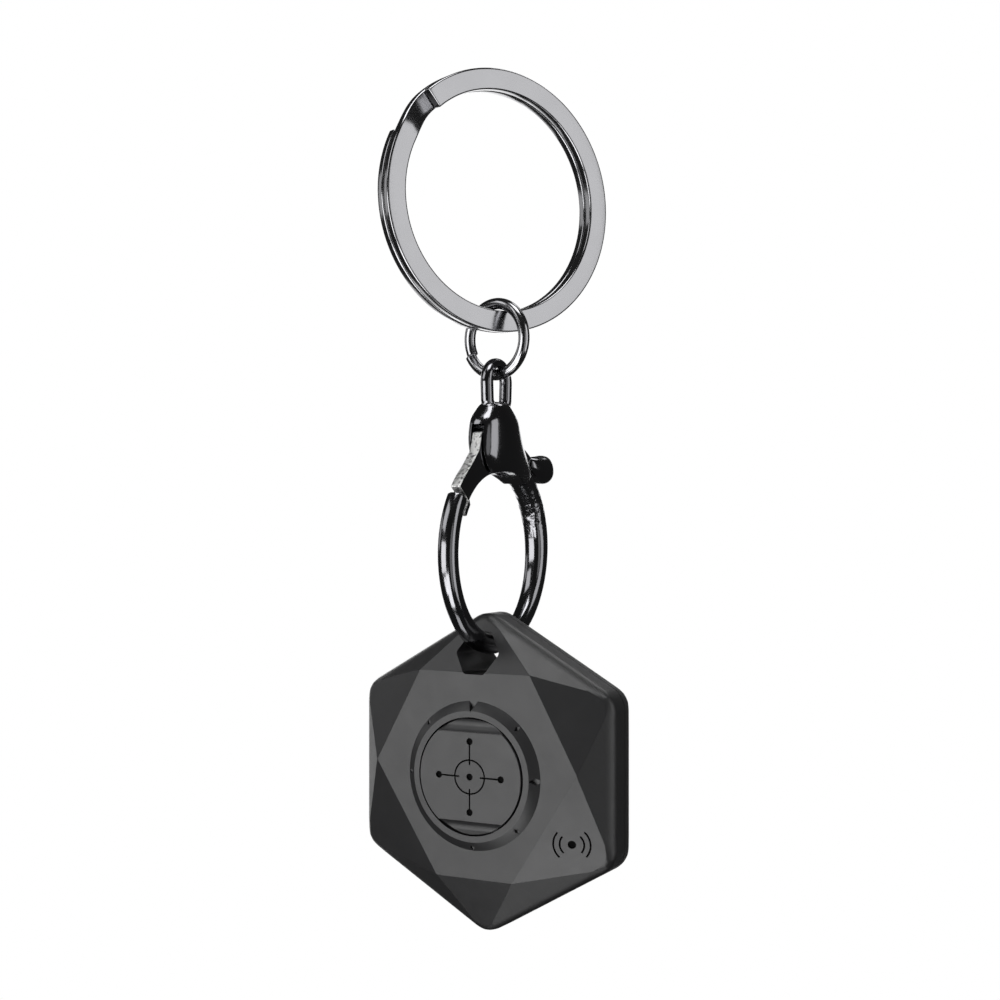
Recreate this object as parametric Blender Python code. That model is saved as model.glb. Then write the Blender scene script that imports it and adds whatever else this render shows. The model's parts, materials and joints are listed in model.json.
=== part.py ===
"""Bluetooth tracker tag on its keyring hardware: split ring, jump ring, lobster clasp and hexagonal tag.

Units are metres, +Z is up.  The origin is the inside top of the split ring, where the object hangs.
The tag's front faces -Y and the clasp lies in the YZ plane, so every link hangs on the Z axis.
"""

import math

import bmesh
import bpy
from mathutils import Matrix, Vector

MM = 0.001
UP = Vector((0.0, 0.0, 1.0))
GAP = 0.15 * MM                      # clearance between links that hang on each other
BEYOND = 1.0 * MM                    # how far a cutter runs past the face it opens
SMOOTH_ANGLE = math.radians(32.0)
SHELL_SOLVER = "MANIFOLD"            # the shells' many coplanar cuts need it

# Split ring: two turns of flat wire, 32 mm across.
SPLIT_OUTER_R = 16.0 * MM
SPLIT_BAND = 2.6 * MM                # radial width of the flat wire
SPLIT_WIRE_T = 1.2 * MM              # axial thickness of one turn
SPLIT_TURN_GAP = 0.1 * MM
SPLIT_AZIMUTH = math.radians(62.0)   # heading of the ring's front normal
SPLIT_FRONT_END = math.radians(-40.0)
SPLIT_STEP = math.radians(24.0)      # arc over which the wire steps between its two turns
SPLIT_EDGE_POWER = 0.32
SPLIT_CENTRE_Z = -(SPLIT_OUTER_R - SPLIT_BAND)

# Jump ring: round wire with a cut that has sprung slightly out of line.
JUMP_R = 4.35 * MM                   # centreline
JUMP_WIRE_R = 0.7 * MM
JUMP_AZIMUTH = math.radians(-11.6)
JUMP_CUT_AT = math.radians(-115.0)
JUMP_CUT = math.radians(5.0)
JUMP_OFFSET = 0.22 * MM              # sideways spring of each cut end
JUMP_CENTRE_Z = -30.2 * MM
JUMP_TOP_Z = JUMP_CENTRE_Z + JUMP_R
JUMP_BOTTOM_Z = JUMP_CENTRE_Z - JUMP_R

# Lobster clasp.
EYE_TOP_HALF = 0.6 * MM              # half thickness of the eye's top bar
EYE_SIDE_HALF = 0.8 * MM
EYE_R = 2.4 * MM                     # centreline radius over the top
EYE_TOP_Z = JUMP_BOTTOM_Z + JUMP_WIRE_R + GAP + EYE_TOP_HALF
EYE_FOOT_Z = -39.6 * MM
EYE_FOOT_Y = 1.5 * MM
LOOP_R = 11.2 * MM                   # centreline
LOOP_CENTRE_Y = -0.5 * MM            # the hook is set a little towards the gate
LOOP_CENTRE_Z = -56.1 * MM
LOOP_TIP = math.radians(144.0)
LOOP_ROOT = math.radians(447.0)
LOOP_THIN = 1.2 * MM                 # half thickness where the tag hangs
LOOP_THICK = 1.5 * MM                # half thickness where the arm leaves the bulb
LOOP_BOTTOM_Z = LOOP_CENTRE_Z - LOOP_R
CHEEK_SECTIONS = (                   # height, left edge, right edge, half thickness (mm)
    (-37.9, -1.9, 1.3, 0.85),
    (-38.2, -2.75, 1.95, 1.4),
    (-38.8, -3.4, 2.5, 1.8),
    (-40.05, -4.5, 3.6, 2.3),
    (-41.4, -4.9, 4.1, 2.45),
    (-43.0, -5.0, 4.8, 2.5),
    (-44.6, -4.7, 6.0, 2.4),
    (-46.2, -3.6, 7.7, 2.1),
    (-47.8, -1.6, 8.5, 1.5),
)
SLOT_HALF = 0.85 * MM
SLOT_ROOF_Z = -40.7 * MM
SLOT_REACH = 9.0 * MM                # the slot runs out of both ends of the bulb
SLOT_FLOOR = ((14.0, -46.0), (10.0, -47.2), (6.0, -45.2), (2.5, -45.5), (2.0, -49.0), (-9.0, -49.0))
PIN_Y = 0.8 * MM
PIN_Z = -43.3 * MM
PIN_R = 0.55 * MM
PIN_HALF = 1.3 * MM
LEVER_HALF = 0.65 * MM
LEVER_HUB_R = 1.9 * MM
KNOB_Y = 11.5 * MM
KNOB_Z = -46.0 * MM
KNOB_LEAN = math.radians(12.0)
KNOB_STATIONS = (                    # distance along the knob, rise, half height, half width (mm)
    (-3.5, 1.3, 0.8, 0.8),
    (-3.2, 1.25, 1.05, 1.1),
    (-2.2, 0.8, 1.4, 1.45),
    (-1.0, 0.3, 1.75, 1.65),
    (0.3, 0.0, 1.9, 1.8),
    (1.2, 0.0, 1.65, 1.5),
    (1.7, 0.0, 1.15, 1.05),
    (1.95, 0.0, 0.55, 0.55),
)
GATE_ANGLES = (125.0, 140.5, 151.0)  # shoulder, nose and tongue, in degrees round the hook
GATE_END = 96.0                      # where the gate's inner edge meets the hub
GATE_INNER = 1.6 * MM                # how far the gate reaches inside the hook's centreline
TONGUE_TOP = 1.45 * MM
TONGUE_BOTTOM = 2.2 * MM
GATE_TOP = ((-3.6, -41.5), (-4.75, -41.7), (-5.5, -43.9))
TONGUE_ROOT = 2.0                    # degrees by which the tongue's foot is set back from the nose
THUMB_ARM = (
    (1.2, -45.2),
    (4.0, -44.9),
    (7.0, -44.8),
    (8.6, -45.9),
    (8.9, -44.9),
    (7.0, -43.8),
    (4.4, -42.4),
)
LEVER_HUB_ANGLES = (60.0, 90.0, 125.0)
SPRING_Y = 3.0 * MM
SPRING_R = 0.42 * MM
SPRING_WIRE_R = 0.11 * MM
SPRING_TURNS = 4
SPRING_TOP_Z = SLOT_ROOF_Z - 0.17 * MM
SPRING_BOTTOM_Z = -41.8 * MM

# Tag: a rounded hexagon standing on a corner, with flat facets front and rear.
TAG_HOLE_TOP = 17.04 * MM            # above the tag's centre
TAG_Y = -0.7 * MM                    # the tag is built about y = 0, then hung where the hook is lowest
TAG_CENTRE_Z = LOOP_BOTTOM_Z + 1.72 * MM - TAG_HOLE_TOP
TAG_APOTHEM = 17.0 * MM
TAG_CORNER_R = 3.2 * MM
TAG_RIM = 1.9 * MM                   # depth at which the facets reach the sharp outline
REAR_RIM = TAG_RIM + 0.8 * MM
TAG_FACE = 4.93 * MM                 # depth of the front and rear central facets
RIM_ROUND = 0.9 * MM
RIM_STEPS = 4
CORNER_STEPS = 6
PARTING_Y = 1.0 * MM
PARTING_GAP = 0.1 * MM
FRONT_FACET = ((7.45, 12.3), (13.6, 1.0), (5.15, -12.3))      # right half, top to bottom (mm)
REAR_FACET = ((7.6, 12.3), (14.4, -1.0), (6.4, -13.6))
HOLE_HALF_H = 2.5 * MM
HOLE_SIDE = 2.95 * MM                # centre to side corner
HOLE_TOP_HALF = 1.35 * MM            # half width of the flat top and bottom
HOLE_Z = TAG_HOLE_TOP - HOLE_HALF_H

# Bezel and button, centred on the tag.
BEZEL_OUTER_R = 8.9 * MM
BEZEL_TOP_R = 7.75 * MM
BEZEL_Y = -(TAG_FACE + 0.85 * MM)
BEZEL_ROOT_Y = -4.2 * MM
BEZEL_NOTCH_TOP_HALF = 0.75 * MM     # the wide notch at the bezel's top tapers inwards
BEZEL_NOTCH_TOP = 9.3 * MM
BEZEL_NOTCH_FOOT = 7.6 * MM
TICK_ANGLES = (0.0, 45.0, 135.0, 180.0, 270.0, 315.0)
TICK_R = BEZEL_TOP_R + 0.72 * MM
TICK_SIZE = (0.35 * MM, 0.3 * MM)    # half length along the radius, half width
DIAMOND_SIZE = (0.75 * MM, 0.4 * MM)
TICK_FLOOR = 0.05 * MM
BUTTON_HOLE_R = 7.05 * MM
BUTTON_R = 6.85 * MM
BUTTON_FACE_Y = BEZEL_Y - 0.18 * MM
BUTTON_FLANGE_R = 8.2 * MM
BUTTON_FLANGE_Y = (-3.5 * MM, -2.9 * MM)
BUTTON_BAND = 5.3 * MM               # half height of the flat band across the button
DISH_STEP = 0.15 * MM                # drop at the band's edge
DISH_DEPTH = 0.4 * MM                # further drop in the middle of each scooped segment
DISH_WIDTH = 1.7 * MM
BUTTON_EDGE = 0.12 * MM

# Inside of the case: round pockets about the battery's axis.
CELL_Z = -1.6 * MM                   # battery axis, from the tag's centre
BOARD_R = 12.5 * MM
BOARD_Y = (-0.8 * MM, 0.0)
BOARD_POCKET_R = 12.8 * MM
LEDGE_R = 11.9 * MM
LEDGE_Y = -0.95 * MM
PARTS_FLOOR_Y = -2.6 * MM
FLANGE_POCKET_R = 9.4 * MM
FLANGE_FLOOR_Y = -3.75 * MM
CELL_R = 10.0 * MM
CELL_Y = (0.5 * MM, 3.7 * MM)
WELL_R = 10.35 * MM
CONTACT_RIGHT = ((1.5, -6.0), (1.5, -2.0), (4.0, 5.0), (2.6, 5.5))    # right half of the leaf (mm)
CONTACT_FORK = -1.0 * MM
NEGATIVE_CONTACT_Y = (0.15 * MM, 0.35 * MM)
CLIP_R = (CELL_R + 0.1 * MM, CELL_R + 0.25 * MM)
CLIP_Y = (0.15 * MM, 1.6 * MM)
CLIP_HALF = math.radians(16.0)
LIP_OUTER_R = 12.6 * MM
LIP_Y = 0.2 * MM

# Battery cover: a bayonet disc with three lugs.
COVER_R = 11.3 * MM
NOTCH_MARGIN = 0.2 * MM
COVER_SEAT_R = 11.5 * MM
COVER_SEAT_Y = 3.35 * MM
COVER_Y = (3.85 * MM, TAG_FACE - 0.15 * MM)
COVER_LEDGE_R = 10.95 * MM
CHANNEL_R = 11.6 * MM
CHANNEL_Y = (1.7 * MM, 2.75 * MM)
SKIRT_R = (10.3 * MM, 10.75 * MM)
SKIRT_Y = 2.0 * MM
LUG_R = 11.4 * MM
LUG_Y = (2.0 * MM, 2.6 * MM)
LUG_COUNT = 3
LUG_HALF = math.radians(11.0)
LUG_REST = math.radians(60.0)
COVER_TURN = math.radians(30.0)
NOTCH_HALF = math.radians(14.0)
NOTCH_R = 11.5 * MM
SEAL_R = (11.0 * MM, 11.3 * MM)
SEAL_Y = (3.42 * MM, 3.77 * MM)
COIN_SLOT = (9.0 * MM, 0.5 * MM, 1.7 * MM)

# Case screws in four corners.
SCREW_CORNER = 15.2 * MM             # distance of each screw from the tag's centre
SCREW_ANGLES = (30.0, 150.0, 210.0, 330.0)
SCREW_HEAD_R = 1.15 * MM
SCREW_SHANK_R = 0.6 * MM
SCREW_PLAY = 0.1 * MM
SCREW_HEAD_Y = (2.15 * MM, 2.95 * MM)
SCREW_TIP_Y = -0.6 * MM
SCREW_SEAT_Y = 2.0 * MM

# Board parts: centre x, centre z (from the battery axis), half width, half height, depth range.
BOARD_PARTS = {
    "bluetooth_chip": ((-5.6, -3.2), (2.0, 2.0), (-1.75, -0.95)),
    "crystal": ((-5.6, 1.9), (1.25, 1.6), (-1.65, -0.95)),
    "antenna": ((0.0, 9.6), (4.0, 1.2), (-1.95, -0.95)),
    "piezo_buzzer": ((0.0, -9.1), (2.2, 2.2), (-2.45, -0.95)),
}
SWITCH_HALF = 1.6 * MM
SWITCH_Y = (-2.25 * MM, -0.95 * MM)
SWITCH_HOLE_R = 0.95 * MM
SWITCH_FLOOR_Y = -1.1 * MM
PLUNGER_R = 0.8 * MM
PLUNGER_Y = (-2.8 * MM, -1.6 * MM)


def clear_scene():
    for item in list(bpy.data.objects):
        bpy.data.objects.remove(item, do_unlink=True)


def finish(name, colour, roughness, metallic):
    """A Principled material."""
    material = bpy.data.materials.new(name)
    material.use_nodes = True
    shader = material.node_tree.nodes["Principled BSDF"]
    shader.inputs["Base Color"].default_value = (*colour, 1.0)
    shader.inputs["Roughness"].default_value = roughness
    shader.inputs["Metallic"].default_value = metallic
    return material


def make_object(name, bm, material=None):
    """Turn a bmesh into a named object with outward faces and smooth shading between soft edges."""
    bmesh.ops.recalc_face_normals(bm, faces=bm.faces)
    mesh = bpy.data.meshes.new(name)
    bm.to_mesh(mesh)
    bm.free()
    mesh.shade_smooth()
    mesh.set_sharp_from_angle(angle=SMOOTH_ANGLE)
    item = bpy.data.objects.new(name, mesh)
    bpy.context.collection.objects.link(item)
    if material:
        mesh.materials.append(material)
    return item


def anchor(name, location, parent=None):
    """An empty on a joint's axis, which the moving pieces are parented to."""
    empty = bpy.data.objects.new(name, None)
    empty.location = location
    bpy.context.collection.objects.link(empty)
    hold(empty, parent)
    return empty


def hold(item, parent):
    """Parent an item whose mesh and location are given in world space."""
    if parent is None:
        return
    bpy.context.view_layer.update()
    item.parent = parent
    item.matrix_parent_inverse = parent.matrix_world.inverted()


def combine(target, tool, operation, solver="EXACT"):
    """Cut with, or weld on, a tool object that is itself left out of the model."""
    modifier = target.modifiers.new(tool.name, "BOOLEAN")
    modifier.operation = operation
    modifier.solver = solver
    modifier.object = tool
    tool.hide_render = True
    tool.display_type = "WIRE"


def loft(bm, rings):
    """Skin a row of equal-length rings of points and cap both ends."""
    rows = [[bm.verts.new(point) for point in ring] for ring in rings]
    for near, far in zip(rows, rows[1:]):
        for i, vertex in enumerate(near):
            j = (i + 1) % len(near)
            bm.faces.new((vertex, near[j], far[j], far[i]))
    bm.faces.new(rows[0])
    bm.faces.new(rows[-1])


def superellipse(half_u, half_v, power, count):
    """Section points; a power of 1 is an ellipse and a small power is a rounded rectangle."""
    points = []
    for i in range(count):
        angle = math.tau * (i + 0.5) / count
        cos, sin = math.cos(angle), math.sin(angle)
        u = half_u * math.copysign(abs(cos) ** power, cos)
        v = half_v * math.copysign(abs(sin) ** power, sin)
        points.append((u, v))
    return points


def sweep(frames, sections):
    """Rings for a loft: each frame is (centre, u axis, v axis) and each section a list of (u, v)."""
    return [
        [centre + u_axis * u + v_axis * v for u, v in section]
        for (centre, u_axis, v_axis), section in zip(frames, sections)
    ]


def heading(azimuth):
    """A ring's front normal and its rightward direction seen from the front."""
    normal = Vector((math.sin(azimuth), -math.cos(azimuth), 0.0))
    return normal, Vector((-normal.y, normal.x, 0.0))


def turned(profile, centre_x, centre_z, steps=48):
    """A solid of revolution about the Y direction, with flat ends; the profile is (radius, y)."""
    bm = bmesh.new()
    rings = []
    for radius, y in profile:
        ring = []
        for i in range(steps):
            angle = math.tau * i / steps
            x = centre_x + radius * math.cos(angle)
            z = centre_z + radius * math.sin(angle)
            ring.append(Vector((x, y, z)))
        rings.append(ring)
    loft(bm, rings)
    return bm


def tube(bore, rim, y_low, y_high, centre_x, centre_z, steps=48):
    """A flat ring about the Y direction."""
    bm = bmesh.new()
    corners = ((bore, y_low), (rim, y_low), (rim, y_high), (bore, y_high))
    columns = []
    for i in range(steps):
        angle = math.tau * i / steps
        column = [
            bm.verts.new((centre_x + radius * math.cos(angle), y, centre_z + radius * math.sin(angle)))
            for radius, y in corners
        ]
        columns.append(column)
    for i, column in enumerate(columns):
        after = columns[(i + 1) % steps]
        for j in range(4):
            k = (j + 1) % 4
            bm.faces.new((column[j], column[k], after[k], after[j]))
    return bm


def prism(outline, low, high, axis):
    """Extrude an outline along X or Y; its points are the two other coordinates."""
    bm = bmesh.new()
    rings = []
    for depth in (low, high):
        if axis == "X":
            rings.append([Vector((depth, a, b)) for a, b in outline])
        else:
            rings.append([Vector((a, depth, b)) for a, b in outline])
    loft(bm, rings)
    return bm


def soften(item, width, segments=2, limit=40.0):
    """Round the edges of a plain piece."""
    modifier = item.modifiers.new("edge", "BEVEL")
    modifier.width = width
    modifier.segments = segments
    modifier.limit_method = "ANGLE"
    modifier.angle_limit = math.radians(limit)


# ---- Keyring hardware ----


def split_ring(material):
    normal, right = heading(SPLIT_AZIMUTH)
    centre = Vector((0.0, 0.0, SPLIT_CENTRE_Z))
    radius = SPLIT_OUTER_R - SPLIT_BAND / 2
    layer = (SPLIT_WIRE_T + SPLIT_TURN_GAP) / 2
    turn = math.tau - SPLIT_STEP
    total = 2 * turn + SPLIT_STEP
    count = round(total / math.radians(6.0))
    frames = []
    for i in range(count + 1):
        travel = total * i / count
        step = min(max((travel - turn) / SPLIT_STEP, 0.0), 1.0)
        offset = layer * math.cos(math.pi * step)
        angle = SPLIT_FRONT_END + travel
        outward = right * math.sin(angle) + UP * math.cos(angle)
        frames.append((centre + outward * radius + normal * offset, outward, normal))
    section = superellipse(SPLIT_BAND / 2, SPLIT_WIRE_T / 2, SPLIT_EDGE_POWER, 12)
    bm = bmesh.new()
    loft(bm, sweep(frames, [section] * len(frames)))
    return make_object("split_ring", bm, material)


def jump_ring(material):
    normal, right = heading(JUMP_AZIMUTH)
    centre = Vector((0.0, 0.0, JUMP_CENTRE_Z))
    total = math.tau - JUMP_CUT
    count = 46
    frames = []
    for i in range(count + 1):
        part = i / count
        angle = JUMP_CUT_AT + JUMP_CUT / 2 + total * part
        outward = right * math.sin(angle) + UP * math.cos(angle)
        offset = JUMP_OFFSET * (2 * part - 1) ** 5
        frames.append((centre + outward * JUMP_R + normal * offset, outward, normal))
    section = superellipse(JUMP_WIRE_R, JUMP_WIRE_R, 1.0, 12)
    bm = bmesh.new()
    loft(bm, sweep(frames, [section] * len(frames)))
    return make_object("jump_ring", bm, material)


def loop_point(angle, radius=LOOP_R):
    y = LOOP_CENTRE_Y + radius * math.cos(angle)
    z = LOOP_CENTRE_Z + radius * math.sin(angle)
    return Vector((0.0, y, z))


def loop_half(angle):
    """Half thickness of the hook's arm, thin at the bottom and thick towards the bulb."""
    rise = min(max((angle - math.radians(285.0)) / math.radians(100.0), 0.0), 1.0)
    ease = rise * rise * (3.0 - 2.0 * rise)
    return LOOP_THIN + (LOOP_THICK - LOOP_THIN) * ease


def hook_arm():
    """The round arm from the hook's tip, under the tag's hole and up into the bulb."""
    count = 44
    frames = []
    sections = []
    for i in range(count + 1):
        angle = LOOP_TIP + (LOOP_ROOT - LOOP_TIP) * i / count
        outward = Vector((0.0, math.cos(angle), math.sin(angle)))
        frames.append((loop_point(angle), outward, Vector((1.0, 0.0, 0.0))))
        half = loop_half(angle)
        sections.append(superellipse(half, half, 0.9, 14))
    bm = bmesh.new()
    loft(bm, sweep(frames, sections))
    return make_object("hook_arm", bm)


def eye_bow():
    """The fixed eye at the top of the clasp: a bow of wire whose feet end inside the bulb."""
    side_z = EYE_TOP_Z - EYE_R
    path = [(-EYE_FOOT_Y, EYE_FOOT_Z), (-EYE_R * 0.95, side_z - 2.2 * MM)]
    arc_steps = 12
    for i in range(arc_steps + 1):
        angle = math.pi - math.pi * i / arc_steps
        path.append((EYE_R * math.cos(angle), side_z + EYE_R * math.sin(angle)))
    path += [(EYE_R * 0.95, side_z - 2.2 * MM), (EYE_FOOT_Y, EYE_FOOT_Z)]
    frames = []
    sections = []
    for i, (y, z) in enumerate(path):
        before = path[max(i - 1, 0)]
        after = path[min(i + 1, len(path) - 1)]
        along = Vector((0.0, after[0] - before[0], after[1] - before[1])).normalized()
        across = Vector((0.0, -along.z, along.y))
        frames.append((Vector((0.0, y, z)), across, Vector((1.0, 0.0, 0.0))))
        height = max((z - side_z) / EYE_R, 0.0)
        half = EYE_SIDE_HALF + (EYE_TOP_HALF - EYE_SIDE_HALF) * height
        sections.append(superellipse(half, EYE_SIDE_HALF, 1.0, 12))
    bm = bmesh.new()
    loft(bm, sweep(frames, sections))
    return make_object("eye_bow", bm)


def bulb():
    """The teardrop body, lofted through its horizontal sections."""
    rings = []
    for height, left, right, half in CHEEK_SECTIONS:
        centre = Vector((0.0, (left + right) / 2 * MM, height * MM))
        section = superellipse((right - left) / 2 * MM, half * MM, 0.85, 20)
        rings.append([centre + Vector((v, u, 0.0)) for u, v in section])
    bm = bmesh.new()
    loft(bm, rings)
    return bm


def rod(radius, half_length, y, z, steps=20):
    """A round rod along X."""
    outline = [
        (y + radius * math.cos(math.tau * i / steps), z + radius * math.sin(math.tau * i / steps))
        for i in range(steps)
    ]
    return prism(outline, -half_length, half_length, "X")


def clasp_body(material):
    body = make_object("clasp_body", bulb(), material)
    inner = LOOP_R - LOOP_THICK
    arch = make_object("arch_cutter", rod(inner, 5.0 * MM, LOOP_CENTRE_Y, LOOP_CENTRE_Z, 64))
    slot_outline = [(-SLOT_REACH, SLOT_ROOF_Z), (SLOT_REACH, SLOT_ROOF_Z)]
    slot_outline += [(y * MM, z * MM) for y, z in SLOT_FLOOR]
    slot = make_object("slot_cutter", prism(slot_outline, -SLOT_HALF, SLOT_HALF, "X"))
    pin_hole = make_object("pin_hole_cutter", rod(PIN_R + 0.05 * MM, PIN_HALF + 0.05 * MM, PIN_Y, PIN_Z))
    combine(body, arch, "DIFFERENCE")
    combine(body, hook_arm(), "UNION")
    combine(body, eye_bow(), "UNION")
    combine(body, slot, "DIFFERENCE")
    combine(body, pin_hole, "DIFFERENCE")
    return body


def loop_arc(radius, first, last, steps):
    """Points (y, z) on a circle about the hook's centre, between two angles in degrees."""
    points = []
    for i in range(steps + 1):
        place = loop_point(math.radians(first + (last - first) * i / steps), radius)
        points.append((place.y, place.z))
    return points


def lever_outline():
    """The gate lever seen along X: gate arm, tongue inside the hook's tip, hub and thumb arm."""
    shoulder, nose, tongue = GATE_ANGLES
    points = [(y * MM, z * MM) for y, z in GATE_TOP]
    points += loop_arc(LOOP_R + LOOP_THIN, shoulder, nose, 3)
    points += loop_arc(LOOP_R - TONGUE_TOP, nose, tongue, 2)
    points += loop_arc(LOOP_R - TONGUE_BOTTOM, tongue, nose, 2)
    points += loop_arc(LOOP_R - GATE_INNER, nose - TONGUE_ROOT, GATE_END, 6)
    points += [(y * MM, z * MM) for y, z in THUMB_ARM]
    for degrees in LEVER_HUB_ANGLES:
        angle = math.radians(degrees)
        points.append((PIN_Y + LEVER_HUB_R * math.cos(angle), PIN_Z + LEVER_HUB_R * math.sin(angle)))
    return points


def gate_lever(material):
    lever = make_object("gate_lever", prism(lever_outline(), -LEVER_HALF, LEVER_HALF, "X"), material)
    knob = make_object("knob_body", thumb_knob())
    hole = make_object("lever_hole_cutter", rod(PIN_R + 0.08 * MM, 2.0 * MM, PIN_Y, PIN_Z))
    combine(lever, knob, "UNION")
    combine(lever, hole, "DIFFERENCE")
    return lever


def thumb_knob():
    """A rounded thumb piece on a thick neck, lofted along its own axis, which leans up and outwards."""
    along = Vector((0.0, math.cos(KNOB_LEAN), math.sin(KNOB_LEAN)))
    across = Vector((0.0, -along.z, along.y))
    centre = Vector((0.0, KNOB_Y, KNOB_Z))
    frames = []
    sections = []
    for distance, rise, half_height, half_width in KNOB_STATIONS:
        place = centre + along * distance * MM + across * rise * MM
        frames.append((place, across, Vector((1.0, 0.0, 0.0))))
        sections.append(superellipse(half_height * MM, half_width * MM, 0.9, 14))
    bm = bmesh.new()
    loft(bm, sweep(frames, sections))
    return bm


def lever_pin(material):
    return make_object("lever_pin", rod(PIN_R, PIN_HALF, PIN_Y, PIN_Z), material)


def lever_spring(material):
    """The small coil between the slot's roof and the thumb arm."""
    count = SPRING_TURNS * 10
    frames = []
    for i in range(count + 1):
        part = i / count
        angle = math.tau * SPRING_TURNS * part
        outward = Vector((math.cos(angle), math.sin(angle), 0.0))
        height = SPRING_BOTTOM_Z + (SPRING_TOP_Z - SPRING_BOTTOM_Z) * part
        frames.append((Vector((0.0, SPRING_Y, height)) + outward * SPRING_R, outward, UP))
    section = superellipse(SPRING_WIRE_R, SPRING_WIRE_R, 1.0, 6)
    bm = bmesh.new()
    loft(bm, sweep(frames, [section] * len(frames)))
    return make_object("lever_spring", bm, material)


# ---- Tag shells ----


def corner_direction(k):
    """Outline corners run clockwise from the top, seen from the front."""
    angle = math.radians(90.0 - 60.0 * k)
    return math.cos(angle), math.sin(angle)


def plane_depth(a, b, c):
    """Depth of the plane through three (x, z, depth) points, as a function of x and z."""
    across = Vector(b) - Vector(a)
    down = Vector(c) - Vector(a)
    normal = across.cross(down)

    def depth(x, z):
        return a[2] - (normal.x * (x - a[0]) + normal.y * (z - a[1])) / normal.z

    return depth


def lowest(planes, place):
    """Depth of the surface where several facets meet: the shallowest plane wins."""
    return min(plane(place.x, place.y) for plane in planes)


def ridge_foot(vertex, corner, angle):
    """Where the ridge from a facet's vertex to a sharp corner meets the inset edge facing angle.

    The result is the core point that lies TAG_CORNER_R inside the outline there.
    """
    normal = Vector((math.cos(angle), math.sin(angle)))
    start, end = Vector(vertex), Vector(corner)
    level = TAG_APOTHEM - RIM_ROUND
    part = (level - start.dot(normal)) / (end.dot(normal) - start.dot(normal))
    return start.lerp(end, part) - normal * (TAG_CORNER_R - RIM_ROUND)


def outline_stations(inner, rim, face):
    """Points round the outline: core point, outward angle and the planes of the facets near it.

    Each corner's row runs clockwise: ridge foot, arc, ridge foot.
    """
    circumradius = TAG_APOTHEM / math.cos(math.radians(30.0))
    core_radius = (TAG_APOTHEM - TAG_CORNER_R) / math.cos(math.radians(30.0))
    corners = []
    for k in range(6):
        x, z = corner_direction(k)
        corners.append((x * circumradius, z * circumradius))
    sides = []
    for k in range(6):
        sides.append(plane_depth((*inner[k], face), (*corners[k - 1], rim), (*corners[k], rim)))
    rows = []
    for k in range(6):
        before, after = inner[k], inner[(k + 1) % 6]
        tip = plane_depth((*before, face), (*after, face), (*corners[k], rim))
        planes = (sides[k], tip, sides[(k + 1) % 6])
        x, z = corner_direction(k)
        core = Vector((x * core_radius, z * core_radius))
        middle = math.radians(90.0 - 60.0 * k)
        start, end = middle + math.radians(30.0), middle - math.radians(30.0)
        row = [(ridge_foot(before, corners[k], start), start, planes)]
        for i in range(CORNER_STEPS + 1):
            row.append((core, start + (end - start) * i / CORNER_STEPS, planes))
        row.append((ridge_foot(after, corners[k], end), end, planes))
        rows.append(row)
    return rows


def faceted_half(half_facet, rim, face, outward, parting):
    """One half of the tag as a closed solid, from its parting plane out to its faceted face."""
    right = [(x * MM, z * MM) for x, z in half_facet]
    left = [(-x, z) for x, z in reversed(right)]
    inner = [left[-1], *right, *left[:-1]]
    rows = outline_stations(inner, rim, face)
    stations = [station for row in rows for station in row]
    bm = bmesh.new()

    def vertex(x, z, y):
        return bm.verts.new((x, y, TAG_CENTRE_Z + z))

    facet = [vertex(x, z, outward * face) for x, z in inner]
    rings = []
    for j in range(RIM_STEPS + 1):
        s = j / RIM_STEPS
        ring = []
        for core, angle, planes in stations:
            normal = Vector((math.cos(angle), math.sin(angle)))
            sharp = lowest(planes, core + normal * TAG_CORNER_R)
            inset = lowest(planes, core + normal * (TAG_CORNER_R - RIM_ROUND))
            place = core + normal * (TAG_CORNER_R - RIM_ROUND * (1.0 - s) ** 2)
            level = (1.0 - s) ** 2 * inset + 2.0 * s * (1.0 - s) * sharp
            level += s * s * (sharp - RIM_ROUND)
            ring.append(vertex(*place, outward * level))
        rings.append(ring)
    rings.append([bm.verts.new((v.co.x, parting, v.co.z)) for v in rings[-1]])
    bm.faces.new(facet)
    per_corner = len(rows[0])
    for k in range(6):
        corner_arc = rings[0][k * per_corner:(k + 1) * per_corner]
        bm.faces.new([facet[(k + 1) % 6], facet[k], *corner_arc])
        next_foot = rings[0][(k + 1) * per_corner % len(stations)]
        bm.faces.new([facet[(k + 1) % 6], corner_arc[-1], next_foot])
    for near, far in zip(rings, rings[1:]):
        for i, start in enumerate(near):
            j = (i + 1) % len(near)
            bm.faces.new((start, near[j], far[j], far[i]))
    bm.faces.new(rings[-1])
    return bm


def keyring_hole():
    """Cutter for the hexagonal hole through both shells."""
    z = TAG_CENTRE_Z + HOLE_Z
    outline = (
        (-HOLE_TOP_HALF, z + HOLE_HALF_H),
        (HOLE_TOP_HALF, z + HOLE_HALF_H),
        (HOLE_SIDE, z),
        (HOLE_TOP_HALF, z - HOLE_HALF_H),
        (-HOLE_TOP_HALF, z - HOLE_HALF_H),
        (-HOLE_SIDE, z),
    )
    cutter = make_object("hole_cutter", prism(outline, -8.0 * MM, 8.0 * MM, "Y"))
    soften(cutter, 0.35 * MM, 2)
    return cutter


def screw_places():
    """World x and z of each case screw."""
    for degrees in SCREW_ANGLES:
        angle = math.radians(degrees)
        yield SCREW_CORNER * math.cos(angle), TAG_CENTRE_Z + SCREW_CORNER * math.sin(angle)


def bezel_ring():
    """The raised cone round the button, rooted inside the front shell."""
    z = TAG_CENTRE_Z
    profile = (
        (BEZEL_OUTER_R, BEZEL_ROOT_Y),
        (BEZEL_OUTER_R, -TAG_FACE),
        (BEZEL_TOP_R, BEZEL_Y),
    )
    return make_object("bezel_body", turned(profile, 0.0, z, 64))


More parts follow.
